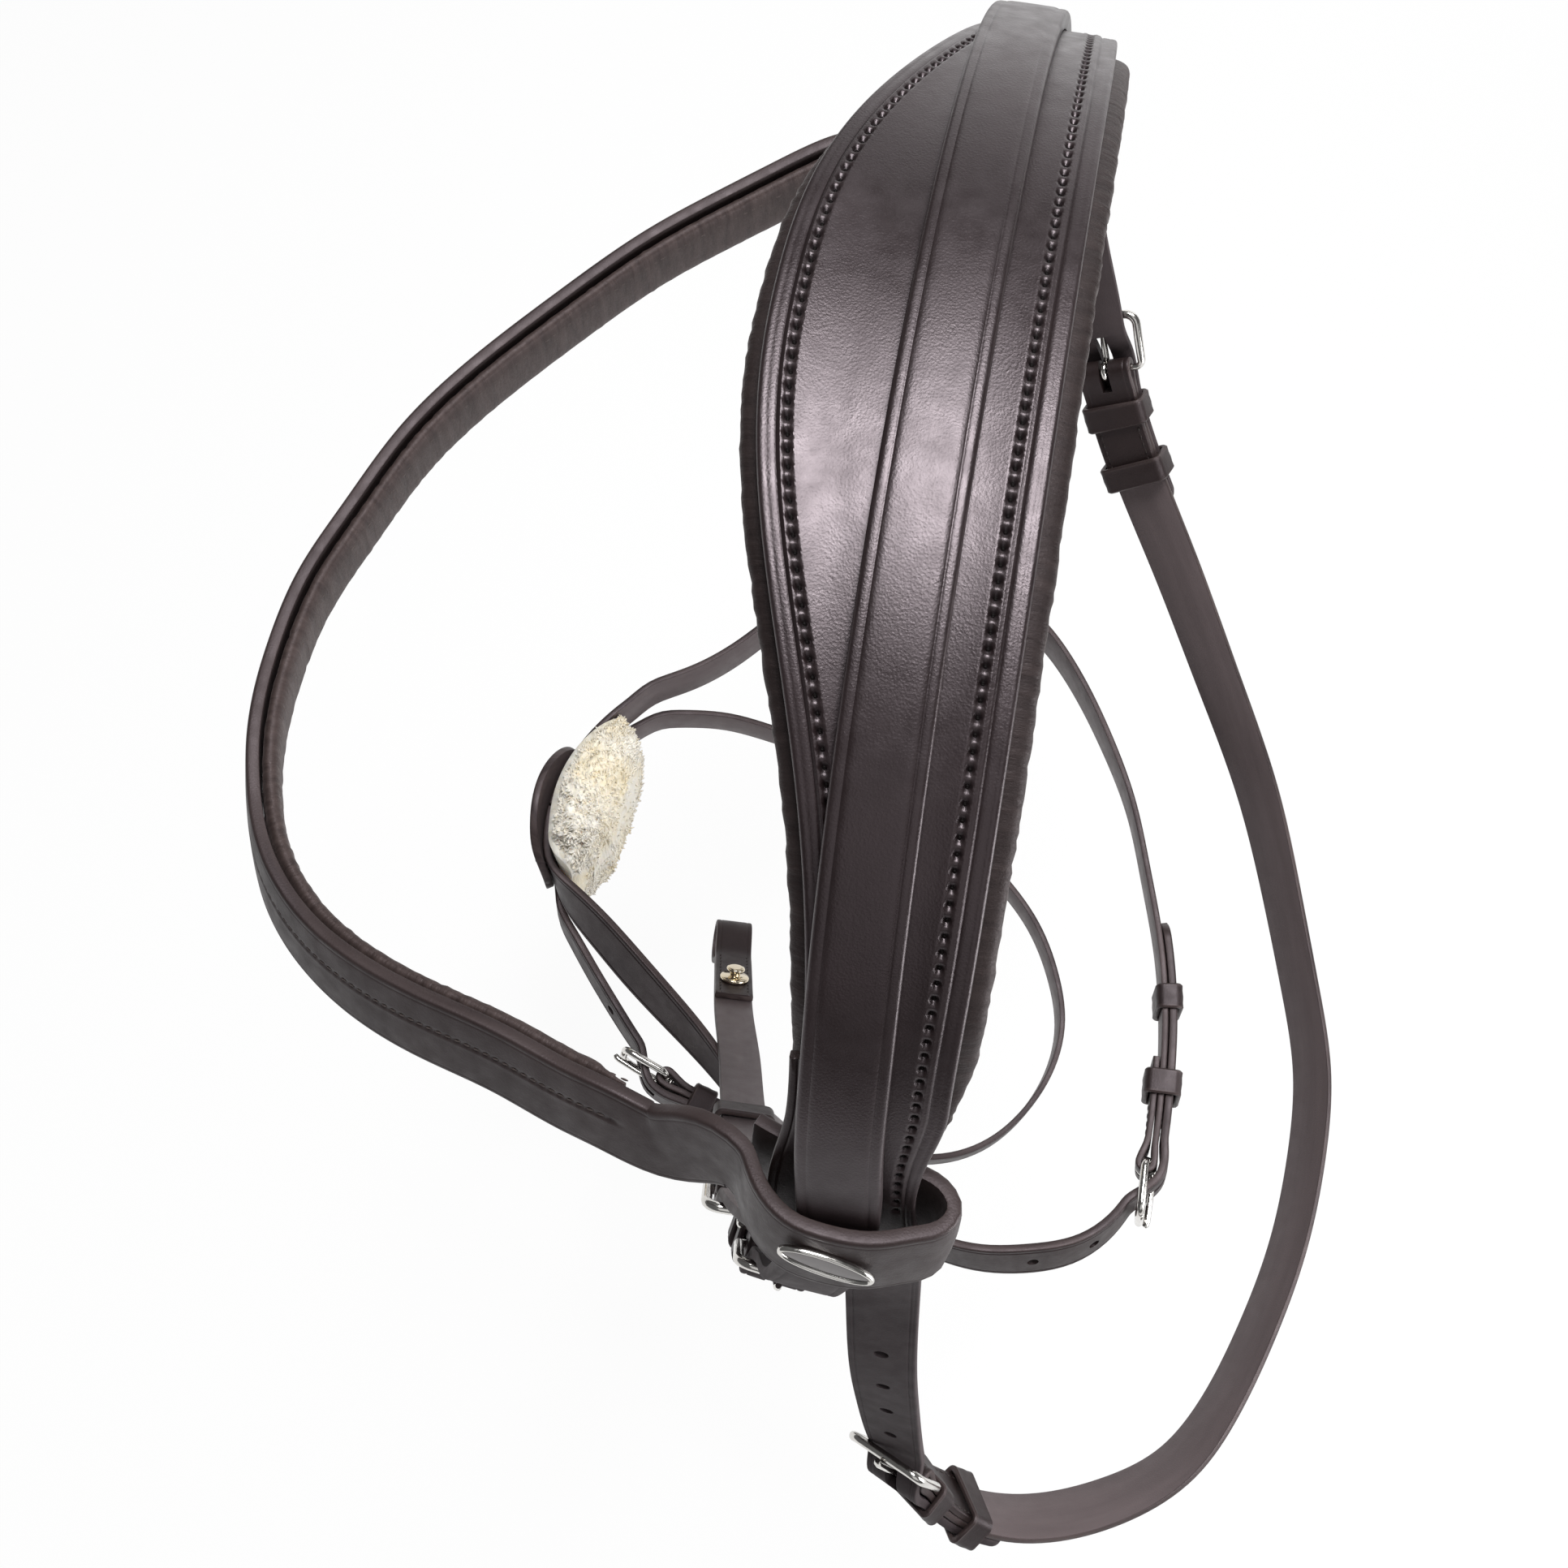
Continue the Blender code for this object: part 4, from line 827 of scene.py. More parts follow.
def sewFold(name, course, bar, width):
    # Two rows of stitches along a turned end, seen on its back and beside the billet in front.
    out, side = leg + leather["fold"] / 2, width / 2 - 1.8
    rows = [(bar + 11, bar + buckle["chape"] - 2, lambda s, a=a: a, lambda s, k=k: k * out, k, 2.6)
            for k in (-1, 1) for a in (-side, side)]
    return sewRows(name, course, rows, paints["thread"])


# The headpiece's arch

arch = {"half": 189.5, "turn": 0.97, "cubic": 0.40, "steepest": math.radians(72), "backward": 10.0}


def archAngle(s):
    turn = abs(s) / arch["half"]
    return math.copysign(min(arch["turn"] * turn + arch["cubic"] * turn ** 3, arch["steepest"]), s)


def archPoint(s, a=0, h=0):
    steps = max(2, int(abs(s)))
    part = s / steps
    turns = [archAngle(part * (k + 0.5)) for k in range(steps)]
    x = sum(math.cos(v) for v in turns) * part
    z = -sum(math.sin(v) for v in turns) * part
    angle = archAngle(s)
    y = 0.9 + arch["backward"] * (s / arch["half"]) ** 2
    return (x + h * math.sin(angle), y + a, z + h * math.cos(angle))


def archFace(s):
    return (math.sin(archAngle(s)), 0, math.cos(archAngle(s)))


def mirrored(rows):
    return [(-x, y, z) for x, y, z in rows]


def rimFront(s):
    return 10.3 + 24.7 * math.exp(-(abs(s) / 80) ** 2.4)


def rimBack(s):
    return 24.7 - 5 * (s / 180) ** 4


# Listed courses: places, then the way the face looks

throat = {
    "near": [(153.5, 22.5, -127), (166, 27, -165), (174.5, 32, -200), (182, 37, -230),
             (187.5, 42.5, -250), (191, 51, -264), (195, 68, -279), (193, 89, -291),
             (184, 111, -300), (170, 130, -308), (152, 142.5, -314), (125, 154, -318),
             (97, 162, -319), (67, 165.5, -317), (39, 164, -312), (14, 156, -304),
             (-15, 143.5, -291), (-43, 128, -273), (-70, 106, -249), (-95, 82, -221),
             (-116, 60, -195), (-130, 47, -175), (-139, 39, -158), (-147, 29.5, -137)],
    "faces": [(0.95, 0, 0.3), (0.95, -0.05, 0.25), (0.95, -0.1, 0.2), (0.94, -0.2, 0.1),
              (0.9, -0.3, -0.1), (0.8, -0.35, -0.4), (0.7, -0.1, -0.7), (0.6, 0.2, -0.8),
              (0.5, 0.4, -0.75), (0.45, 0.6, -0.65), (0.35, 0.75, -0.55), (0.2, 0.83, -0.5),
              (0.1, 0.86, -0.48), (0, 0.87, -0.48), (-0.1, 0.87, -0.48), (-0.2, 0.85, -0.48),
              (-0.33, 0.8, -0.5), (-0.48, 0.68, -0.53), (-0.62, 0.55, -0.54),
              (-0.72, 0.43, -0.52), (-0.8, 0.32, -0.46), (-0.86, 0.22, -0.38),
              (-0.92, 0.1, -0.28), (-0.95, 0.05, -0.1)],
    "drift": ((160, 1.5), (180, 6.0)), "held": (14, 34), "tip": 50, "frame": 18.8, "overlap": 7,
    "nearBar": 4, "offBar": 3, "free": 217}
head = {
    "near": [(144.8, 10, -88), (151.5, 7.5, -110), (153, 4, -132), (149.5, 0.5, -155),
             (142.5, -3, -185), (129, -6.5, -218), (107.8, -8.4, -247), (97.2, -10, -270),
             (96.4, -10.4, -298)],
    "faces": [(0.95, 0, 0.3), (0.98, 0, 0.15), (0.99, -0.05, 0), (0.98, -0.1, -0.2),
              (0.92, -0.15, -0.35), (0.85, -0.22, -0.45), (0.84, -0.38, -0.35),
              (0.86, -0.49, -0.08), (0.86, -0.51, 0)],
    "bar": 264, "held": (14, 32), "tip": 44, "free": 234}
cheek = {
    "near": [(147.6, 2.8, -112), (145, -3, -130), (139, -9.5, -148), (132.5, -12.5, -165),
             (122, -14.5, -190), (109, -18, -219), (96, -22, -241), (82, -26, -261),
             (61, -33, -290), (38, -39, -320), (22, -43.5, -340)],
    "off": [(-147.6, 2.8, -112), (-145, -3, -130), (-139, -9.5, -148), (-132.5, -12.5, -165),
            (-122, -14.5, -192), (-111.5, -17.5, -219), (-100.5, -22, -243), (-90, -24.5, -270),
            (-82, -24.5, -300), (-76.5, -22.5, -332), (-72, -20.5, -362)],
    "faces": [(0.97, 0, 0.1), (0.97, 0, -0.15), (0.94, 0, -0.3), (0.92, 0, -0.4),
              (0.9, 0, -0.42), (0.87, 0, -0.48), (0.84, 0, -0.52), (0.81, 0, -0.58),
              (0.79, 0, -0.6), (0.78, 0, -0.62), (0.78, 0, -0.62)],
    "root": ((140, -4.2), (160, -4.8), (180, -8.2)), "held": (14, 66), "tip": 80, "bar": 6, "bit": 6.0}
cheek["layer"] = -layers["panel"] - 2 * leather["gap"] - leather["thick"] / 2 - underFrame


def panelCourse():
    # From the off end of the throatlash over the crown, down and round under the throat.
    middle, overlap = [k * 20 for k in range(-7, 8)], throat["overlap"]
    near = [archPoint(s, a) for s, a in throat["drift"]]
    nearFaces = [archFace(s) for s, _ in throat["drift"]]
    off, offFaces = mirrored(near)[::-1], mirrored(nearFaces)[::-1]
    points = [*throat["near"][-overlap:], *off, *[archPoint(s) for s in middle], *near,
              *throat["near"], *off, archPoint(-140)]
    faces = [*throat["faces"][-overlap:], *offFaces, *[archFace(s) for s in middle], *nearFaces,
             *throat["faces"], *offFaces, archFace(-140)]
    made = Course(points, faces, middle=overlap + len(off) + len(middle) // 2)
    made.first = overlap + len(off) + len(middle) + len(near)
    return made


def headCourse():
    middle = [k * 20 for k in range(-8, 9)]
    points = [*mirrored(head["near"])[::-1], *[archPoint(s) for s in middle], *head["near"]]
    faces = [*mirrored(head["faces"])[::-1], *[archFace(s) for s in middle], *head["faces"]]
    return Course(points, faces, middle=len(points) // 2)


def cheekCourse(side):
    root = [archPoint(s, a, cheek["layer"]) for s, a in cheek["root"]]
    faces = [archFace(s) for s, _ in cheek["root"]] + cheek["faces"]
    if side == "off":
        return Course(mirrored(root) + cheek["off"], mirrored(faces))
    return Course(root + cheek["near"], faces)


# The crown panel runs on as the throatlash's billets

crownSewing = {"pitch": 2.9, "deep": 1.0, "reach": 179.8}


def panelEdges(s):
    # The panel's front and back edge here, the stitch rows' distances from them, and how narrow it is.
    narrow = float(ease(abs(s), 148, 188, 0, 1))
    full, half = 1 - narrow, leather["strap"] / 2 * narrow
    front = (rimFront(s) - layers["insetFront"]) * full + half
    back = (rimBack(s) - layers["insetBack"]) * full + half
    return front, back, (5.4 * full + 3 * narrow, 6 * full + 3 * narrow), narrow


def panelProfile(tips):
    def at(s):
        front, back, rows, narrow = panelEdges(s)
        slim = tipShare(s, tips[1] if s > 0 else tips[0])
        full = 1 - narrow
        look = {"thick": layers["panel"] * full + leather["thick"] * narrow, "round": 0.6 + 0.2 * full,
                "crease": 1.7 + 1.7 * full, "depth": 0.2 - 0.06 * full, "rise": 0.3 * full,
                "fine": 0.85 + 0.75 * full, "dome": 0.08, "channel": crownSewing["deep"] * min(full * 3, 1),
                "rows": rows}
        return profile(-front * slim, back * slim, look, pitAt(s, crownSewing["pitch"]))
    return at


def makePanel():
    panel = panelCourse()
    other = panel.turned()
    reach, pitch = crownSewing["reach"], crownSewing["pitch"]
    nearBar = panel.marks[panel.first + throat["nearBar"]]
    offBar = -panel.marks[throat["overlap"] - throat["offBar"]]
    farOff = panel.marks[panel.first + len(throat["near"]) - throat["offBar"]]
    nearTip, offTip = nearBar + throat["tip"], offBar + throat["tip"]
    path = flip(billetPath(0, offBar, offTip))[:-1] + billetPath(0, nearBar, nearTip)
    path = [(s, h if abs(s) > throat["free"]
             else float(ease(abs(s), 190, 215, -layers["panel"] / 2, underFrame))) for s, h in path]
    path = [p for p in path if abs(p[0]) > reach + 0.5]
    path += [(s, -layers["panel"] / 2) for s in np.arange(-reach, reach + 0.1, pitch / 6)]
    path = inOrder(path + tipPath(nearBar, nearTip) + flip(tipPath(offBar, offTip)))
    crownPanel = layStrap("crownPanel", "crown_panel", panel, path, panelProfile((offTip, nearTip)), 0.2,
                          "crown")
    halfway = (nearBar + farOff) / 2
    lash = chapePath(nearBar, halfway) + flip(chapePath(-farOff, -halfway))[1:]
    throatlash = layStrap("throatStrap", "throatlash", panel, lash, evenProfile(leather["strap"], folded))
    for name, course, bar in (("throat_near", panel, nearBar), ("throat_off", other, offBar)):
        makeJoin(name, course, bar, throat["held"], leather["strap"], crownPanel, throatlash,
                 throat["frame"])
    punchHoles(crownPanel, panel, nearBar, 22, 4)

    def across(s, side):
        edges = panelEdges(s)
        return side * (edges[side > 0] - edges[2][side > 0])
    rows = [(-reach, reach, lambda s, side=side: across(s, side), lambda s: -0.82, 1, pitch)
            for side in (-1, 1)]
    sewRows("stitches_crown", panel, rows, paints["darkThread"], size=(1.5, 0.8, 0.5))


def makeCrown():
    # The raised strap, the noseband's hangers below it, and the lining.
    crown, bar = headCourse(), head["bar"]
    tip = bar + head["tip"]
    half = inOrder(billetPath(0, bar, tip) + tipPath(bar, tip))
    both = [(s, h if abs(s) > head["free"]
             else float(ease(abs(s), 216, 240, leather["gap"] + layers["raised"] / 2, underFrame)))
            for s, h in flip(half)[:-1] + half]

    def strapProfile(s):
        raised = float(ease(abs(s), 200, 222, 1, 0))
        half = leather["strap"] / 2 * tipShare(s, tip)
        thick = leather["thick"] + (layers["raised"] - leather["thick"]) * raised
        look = {"thick": thick, "round": 0.6 + 0.3 * raised, "crease": 1.7 + 0.5 * raised,
                "rise": 0.16 * raised, "depth": 0.2 - 0.1 * raised, "slope": 0.7 + 0.5 * raised,
                "dome": 0.12}
        return profile(-half, half, look)
    crownStrap = layStrap("crownStrap", "crown_strap", crown, both, strapProfile, 0.2, "crown")
    for side, course in (("near", crown), ("off", crown.turned())):
        hanger = layStrap("noseHanger_" + side, "nose_hanger_" + side, course,
                          chapePath(bar, course.end - 2), evenProfile(leather["strap"], folded))
        makeJoin("hanger_" + side, course, bar, head["held"], leather["strap"], crownStrap, hanger)
    makeLining(crown)
    print("headpiece made")


def makeLining(crown):
    # A stuffed roll: flat on top, full rims, wrinkled across its rims.
    rings, edges, places = [], [], spread(-layers["liningEnd"], layers["liningEnd"], step=1.5)
    for s in places:
        thick = float(ease(abs(s), 135, 165, layers["lining"], 4.5)
                      * ease(abs(s), layers["liningEnd"], 162, 0.45, 1))
        top = float(ease(abs(s), 128, 150, -layers["panel"] - leather["gap"],
                         -layers["panel"] - 2 * leather["gap"] - leather["thick"] - 1.8))
        front, back = rimFront(s), rimBack(s) - float(ease(abs(s), 140, layers["liningEnd"], 0, 3.5))
        into = max(abs(s) - layers["liningEnd"] + 10, 0) / 10
        slim = math.sqrt(1 - 0.6 * into ** 2)
        w, n = crown.frame(s)[2:]
        ring, edge = [], []
        for k in range(48):
            angle = 2 * math.pi * (k + 0.5) / 48
            x, y = swollen(math.cos(angle), 0.35), swollen(math.sin(angle), 0.55)
            a = (back - front) / 2 + (back + front) / 2 * x * slim
            h = top - thick / 2 + thick / 2 * y
            spot = crown.at(s, a, h)
            rim = abs(x) ** 6
            fold = noise.noise(Vector((s * 0.55, a * 0.05, h * 0.08)))
            puff = noise.noise(Vector((s * 0.06, a * 0.09, 3)))
            spot = spot + w * math.copysign(0.35, x) * rim * fold
            spot = spot - n * max(-y, 0) * 0.5 * puff
            ring.append(spot)
            edge.append(rim)
        rings.append(ring)
        edges.append(edge)
    lining = wrapGrid("crownPad", np.array(rings), np.array(edges), None,
                      np.arange(len(rings)) * 1.5, angle=70)
    finishPiece(lining, paints["lining"], "bridle", "lining", "crown_lining")


# Cheekpieces, with a hook stud where the bit's loop is closed

def makeCheekpiece(side):
    course = cheekCourse(side)
    bar, bit = course.marks[cheek["bar"]], course.end - cheek["bit"]
    tip = bar + cheek["tip"]
    billet = layStrap("cheekBillet_" + side, "cheek_billet_" + side, course,
                      inOrder(billetPath(2, bar, tip) + tipPath(bar, tip)),
                      tipProfile(leather["cheek"], plain, tip), 0.2)
    wide = cheek["bit"] + leather["fold"] / 2

    def opened(s):
        return float(ease(bit - s, 0, 16, wide, leg))
    down = [(s, opened(s)) for s in spread(bit - 18, bit, step=2)]
    up = [(s, -opened(s)) for s in spread(bit, bit - 50, step=2)]
    path = chapePath(bar, bit - 20) + down[:-1] + bendRound(bit, wide, 1, 16)[::-1] + up[1:]
    strap = layStrap("cheekStrap_" + side, "cheekpiece_" + side, course, path,
                     evenProfile(leather["cheek"], folded))
    makeJoin("cheek_" + side, course, bar, cheek["held"], leather["cheek"], billet, strap)
    out = leg + leather["fold"] / 2
    rows = [(bit - 48, bit - 16, lambda s, a=a: a, lambda s, k=k: k * out, k, 2.6)
            for a in (-4.7, 4.7) for k in (-1, 1)]
    sewRows("stitches_bit_" + side, course, rows, paints["thread"])
    makeStud(side, course)


def makeStud(side, course):
    # A turned button: base, neck and head, as radius and height.
    s = course.end - 44
    depth = leg + leather["fold"] / 2 + leather["gap"]
    shape = ((3.0, 0), (4.9, 0), (5, 0.15), (5, 0.9), (4.7, 1.2), (2.4, 1.35), (1.8, 1.6), (1.8, 3.0),
             (2.2, 3.4), (3.1, 3.6), (3.2, 3.9), (3.0, 4.35), (2.2, 4.6), (1.0, 4.6))
    turns = 2 * np.pi * np.arange(32) / 32
    rings = [course.at(s + radius * np.cos(turns), radius * np.sin(turns), np.full(32, -depth - height))
             for radius, height in shape]
    stud = wrapGrid("hookStud_" + side, np.array(rings), angle=50)
    finishPiece(stud, paints["brass"], "bridle", "steel", "bit_stud_" + side)


# Browband: places of its top edge from the off loop to the near one, and how far it leans out

band = {
    "edge": [(-132, -22, -94), (-130, -33, -95.5), (-125, -44, -97), (-118, -54, -99),
             (-108, -66.5, -101), (-94, -82, -103), (-73, -100.5, -106), (-51, -117, -108),
             (-27, -131, -110), (-3, -139.5, -112), (17, -145, -113), (37, -146, -113),
             (60, -143, -112), (76, -137.5, -112), (91, -128, -110), (101, -117, -109),
             (109, -102, -106.5), (115, -84, -103), (120, -64.5, -100), (125, -49, -98),
             (128, -38, -96), (131, -27, -95)],
    "lean": [6, 10, 11, 11, 11, 11, 11, 11, 11, 11, 11, 12, 13, 15, 18, 21, 25, 27, 27, 27, 27, 25],
    "loop": [(-24.5, -9.5), (-20.5, -7.0), (-17.8, -2.6), (-14.0, 2.3), (-8.5, 5.8), (-3, 6.8),
             (4, 6.8), (9.0, 5.7), (13.8, 3.8), (18.6, 1.5), (20.8, -2.6), (18.4, -6.9),
             (12, -9.2), (0, -9.8), (-12, -10.8), (-19, -13.2)],
    "place": 184.5, "bend": 11, "width": 21.0, "thick": 3.0, "liningThick": 4.0,
    "liningWidth": 19.0, "sewn": 8.4, "pitch": 2.4}
badge = {"length": 19.5, "width": 8.0, "thick": 1.4, "raised": 1.3, "tilt": math.radians(12)}


def bandCourse():
    angle = archAngle(band["place"])
    ahead = np.array((math.sin(angle), 0, math.cos(angle)))
    near = [np.array(archPoint(band["place"], a, h)) for a, h in band["loop"]]
    heading = unit(np.gradient(np.array(band["loop"]), axis=0))
    looks = [tuple(ahead * x - np.array((0, y, 0))) for x, y in heading]
    points, faces = [], []
    edge = np.array(band["edge"], float)
    for k, top in enumerate(edge):
        way = unit((edge[min(k + 1, len(edge) - 1)] - edge[max(k - 1, 0)])[:2])
        out = np.array((way[1], -way[0], 0))
        lean = math.radians(band["lean"][k])
        up = np.array((0, 0, 1))
        points.append(tuple(top + (out * math.sin(lean) - up * math.cos(lean)) * band["width"] / 2))
        faces.append(tuple(out * math.cos(lean) + up * math.sin(lean)))
    return Course([*mirrored(near)[::-1], *points, *near], [*mirrored(looks)[::-1], *faces, *looks])


def makeBrowband():
    course = bandCourse()
    turned = len(band["loop"])
    first, last = course.marks[0], course.marks[-1]
    start, end = course.marks[turned] + band["bend"], course.marks[-1 - turned] - band["bend"]
    look = {"thick": band["thick"], "round": 0.8, "crease": 1.6, "depth": 0.08, "dome": 0.45,
            "rows": (0, band["sewn"]), "channel": 0.4}
    shapes = [profile(-band["width"] / 2, band["width"] / 2, look, 0.25 + 0.75 * v) for v in (0, 0.5, 1)]
    low = profile(-band["width"] / 2, band["width"] / 2, {**look, "channel": 0})

    def bandProfile(s):
        if s < start or s > end:
            return low
        wave = 1 - math.cos(2 * math.pi * (s - start) / band["pitch"])
        return shapes[int(round(wave))]
    inner = start + np.arange(int((end - start) / band["pitch"]) * 4 + 1) * band["pitch"] / 4
    places = [s for s in spread(first, last, step=2) if s < start - 0.5 or s > inner[-1] + 0.5]
    path = [(s, 0) for s in sorted(places + list(inner))]
    layStrap("browbandStrap", "browband", course, path, bandProfile, paint="band")
    rings, places = [], spread(start, end, step=1.5)
    for s in places:
        thick = band["liningThick"] * float(ease(min(s - start, end - s), 0, 8, 0.4, 1))
        wide = band["liningWidth"] / 2
        ring = []
        for k in range(28):
            angle = 2 * math.pi * k / 28
            x, y = swollen(math.cos(angle), 0.6), math.sin(angle)
            ring.append((wide * x, thick / 2 * (abs(y) ** 0.8 if y > 0 else -1.15 * abs(y) ** 0.7)))
        ring = np.array(ring)
        ripple = 0.18 * noise.noise(Vector((s * 0.5, 0, 1)))
        depth = -band["thick"] / 2 - leather["gap"] - thick / 2
        rings.append(course.at(np.full(28, s), ring[:, 0] + ripple, depth + ring[:, 1] * (1 + ripple)))
    pad = wrapGrid("browbandPad", np.array(rings), None, None, np.arange(len(rings)) * 1.5, angle=70)
    finishPiece(pad, paints["bandLining"], "bridle", "lining", "browband_lining")
    height = band["thick"] / 2
    row = band["width"] / 2 - band["sewn"]
    last = start + int((end - start) / band["pitch"]) * band["pitch"]
    rows = [(start, last, lambda s: row, lambda s: height + 0.22, 1, band["pitch"]),
            (start, end, lambda s: band["liningWidth"] / 2 - 3.4,
             lambda s: -height - leather["gap"] - band["liningThick"] * 0.98, -1, 2.6)]
    sewRows("stitches_browband", course, rows, paints["paleThread"])
    makeBadge(course)
    print("browband made")


def makeBadge(course):
    # A bare oval plate: a polished rim round a dark field.
    s = (course.marks[-11] + course.marks[-10]) / 2 - 1.5
    place, t, w, n = course.frame(s)
    centre = place + n * (band["thick"] / 2 + leather["gap"]) + w * badge["raised"]
    long = t * math.cos(badge["tilt"]) - w * math.sin(badge["tilt"])
    short = np.cross(n, long)
    turns = 2 * np.pi * np.arange(72) / 72
    tall = badge["thick"]

    def oval(inset, height):
        a = (badge["length"] / 2 - inset) * np.cos(turns)
        b = (badge["width"] / 2 - inset) * np.sin(turns)
        return centre + np.outer(a, long) + np.outer(b, short) + n * height
    rim = [(0.25, 0), (0, 0.15), (0, 0.85), (0.12, 1.2), (0.42, tall), (0.75, tall - 0.1),
           (0.95, 0.95), (1.0, 0.8), (1.6, 0.75)]
    piece = wrapGrid("badgeRim", np.array([oval(*v) for v in rim]), angle=60)
    finishPiece(piece, paints["steel"], "bridle", "badge", "badge_plate")
    field = [(1.1, 0.79), (1.12, 0.93), (1.4, 0.97), (2.4, 1.0), (3.6, 1.02)]
    piece = wrapGrid("badgeField", np.array([oval(*v) for v in field]), angle=60)
    finishPiece(piece, paints["badge"], "bridle", "badge")


# Noseband: courses round the near side, the back and the off side, and how far each face looks up

nose = {
    "middle": (8, -107.5), "near": [(20, -106.2), (28.5, -102.6)],
    "off": [(-31.3, -94), (-19.5, -101), (-8, -105.3)], "room": 0.6, "discLevel": -283,
    "discRadius": 24.0, "discThick": 2.5, "fleeceHalf": 36.0, "fleeceShift": -6.0, "fleeceWidth": 62.0,
    "fleeceThick": 21.0}
upperRing = {
    "level": -279.5, "bar": 12, "held": (54, 26), "tip": 80, "width": 16.0, "holes": 2,
    "points": [(36.5, -95), (46, -82.5), (56, -69.5), (65, -57.5), (86, -31), (105, -11),
               (118, 16), (125, 43), (126, 57), (123.5, 72), (117, 88), (104, 100), (88, 105.5),
               (66, 106.5), (40, 105), (16, 101), (-9, 94), (-31, 87), (-54, 76), (-78, 61),
               (-96, 44), (-107, 22), (-110.5, 5), (-105, -12), (-92, -33.5), (-77.5, -46),
               (-63, -57.5), (-50, -72), (-40.5, -85.8)],
    "lean": [16, 28, 31, 29, 14, 0, 8, 12, 16, 20, 18, 14, 12, 10, 8, 8, 8, 8, 6, 4, 2,
             0, 0, 0, 0, 0, 0, 0, 0]}
lowerRing = {
    "level": -294.8, "bar": 5, "held": (14,), "tip": 46, "width": 12.0, "holes": 1,
    "points": [(36, -100.6, -296.2), (46, -93.5, -296), (56, -84.5, -298), (66, -75, -300),
               (76, -65, -301.5), (86, -52, -303), (91, -36, -306), (94, -12, -312),
               (93, 20, -319), (89, 45, -325), (81, 59, -328), (68, 70, -330), (51, 77.5, -331),
               (34, 79, -331), (18, 74.5, -330), (0, 64, -328), (-14, 49, -325), (-28, 28, -320),
               (-38, 6, -314), (-43, -18, -308), (-45, -42, -303), (-45, -58, -299.5),
               (-42.5, -72, -297.5), (-38.5, -83.5, -296), (-31.5, -92.3, -295)],
    "lean": [4, 10, 12, 12, 10, 6, 4, 0, 0, 0, 0, 0, 0, 0, 0, 0, 0, 0, 0, 0, 0, 0, 0, 0, 0]}


def noseCourse(ring, offEnds):
    level, leans = ring["level"], ring["lean"]
    before = [(*p, level) for p in offEnds]
    after = [(*p, level) for p in (nose["middle"], *nose["near"])]
    course = [(*p, level) if len(p) == 2 else p for p in ring["points"]]
    points = [*course[-2:], *before, *after, *course, *before, *after, course[0]]
    pad, rest = [0] * len(before), [0] * len(after)
    leans = [*leans[-2:], *pad, *rest, *leans, *pad, *rest, leans[0]]
    way = unit(np.gradient(np.array(points, float)[:, :2], axis=0))
    faces = []
    for (x, y), lean in zip(way, leans):
        tilt = math.radians(lean)
        faces.append((y * math.cos(tilt), -x * math.cos(tilt), math.sin(tilt)))
    made = Course(points, faces, middle=2 + len(before))
    made.first = 2 + len(before) + len(after)
    made.close = made.marks[made.first + len(course) + len(before)]
    return made


def makeRing(name, ring, course):
    width = ring["width"]
    bar = course.marks[course.first + ring["bar"]]
    tip, end = bar + ring["tip"], course.close - nose["room"]
    near = layStrap(name + "Near", name + "_strap_near", course,
                    inOrder(billetPath(nose["room"], bar, tip) + tipPath(bar, tip)),
                    tipProfile(width, plain, tip), 0.2)
    path = [(s, h if s < end - 60 else float(ease(s, end - 60, end - 45, h, underFrame)))
            for s, h in chapePath(bar, end)]
    off = layStrap(name + "Off", name + "_strap_off", course, path, evenProfile(width, folded))
    makeJoin(name, course, bar, ring["held"], width, near, off)
    punchHoles(near, course, bar, 20, ring["holes"])


def makeNose():
    upper, lower = noseCourse(upperRing, nose["off"]), noseCourse(lowerRing, nose["off"][1:])
    makeRing("upper", upperRing, upper)
    makeRing("lower", lowerRing, lower)
    radius, shift = nose["discRadius"], upperRing["level"] - nose["discLevel"]
    depth = underFrame + leather["thick"] / 2 + nose["room"] + nose["discThick"] / 2
    look = {"thick": nose["discThick"], "round": 0.6, "crease": 2.2, "depth": 0.15, "dome": 0.1}

    def roundProfile(s):
        half = math.sqrt(max(radius ** 2 - s ** 2, 3.4))
        return profile(-half - shift, half - shift, look)
    turns = [math.radians(7 + 166 * k / 40) for k in range(41)]
    path = [(-radius * math.cos(v), depth) for v in turns]
    layStrap("noseRound", "nose_disc", upper, path, roundProfile, 0.1)
    rows = [(-radius * 0.83, radius * 0.83,
             lambda s, side=side: side * math.sqrt((radius - 2.6) ** 2 - s * s) - shift,
             lambda s: depth + nose["discThick"] / 2 + 0.05, 1, 2.2) for side in (-1, 1)]
    sewRows("stitches_disc", upper, rows, paints["thread"])
    makeFleece(upper, shift)
    print("noseband made")


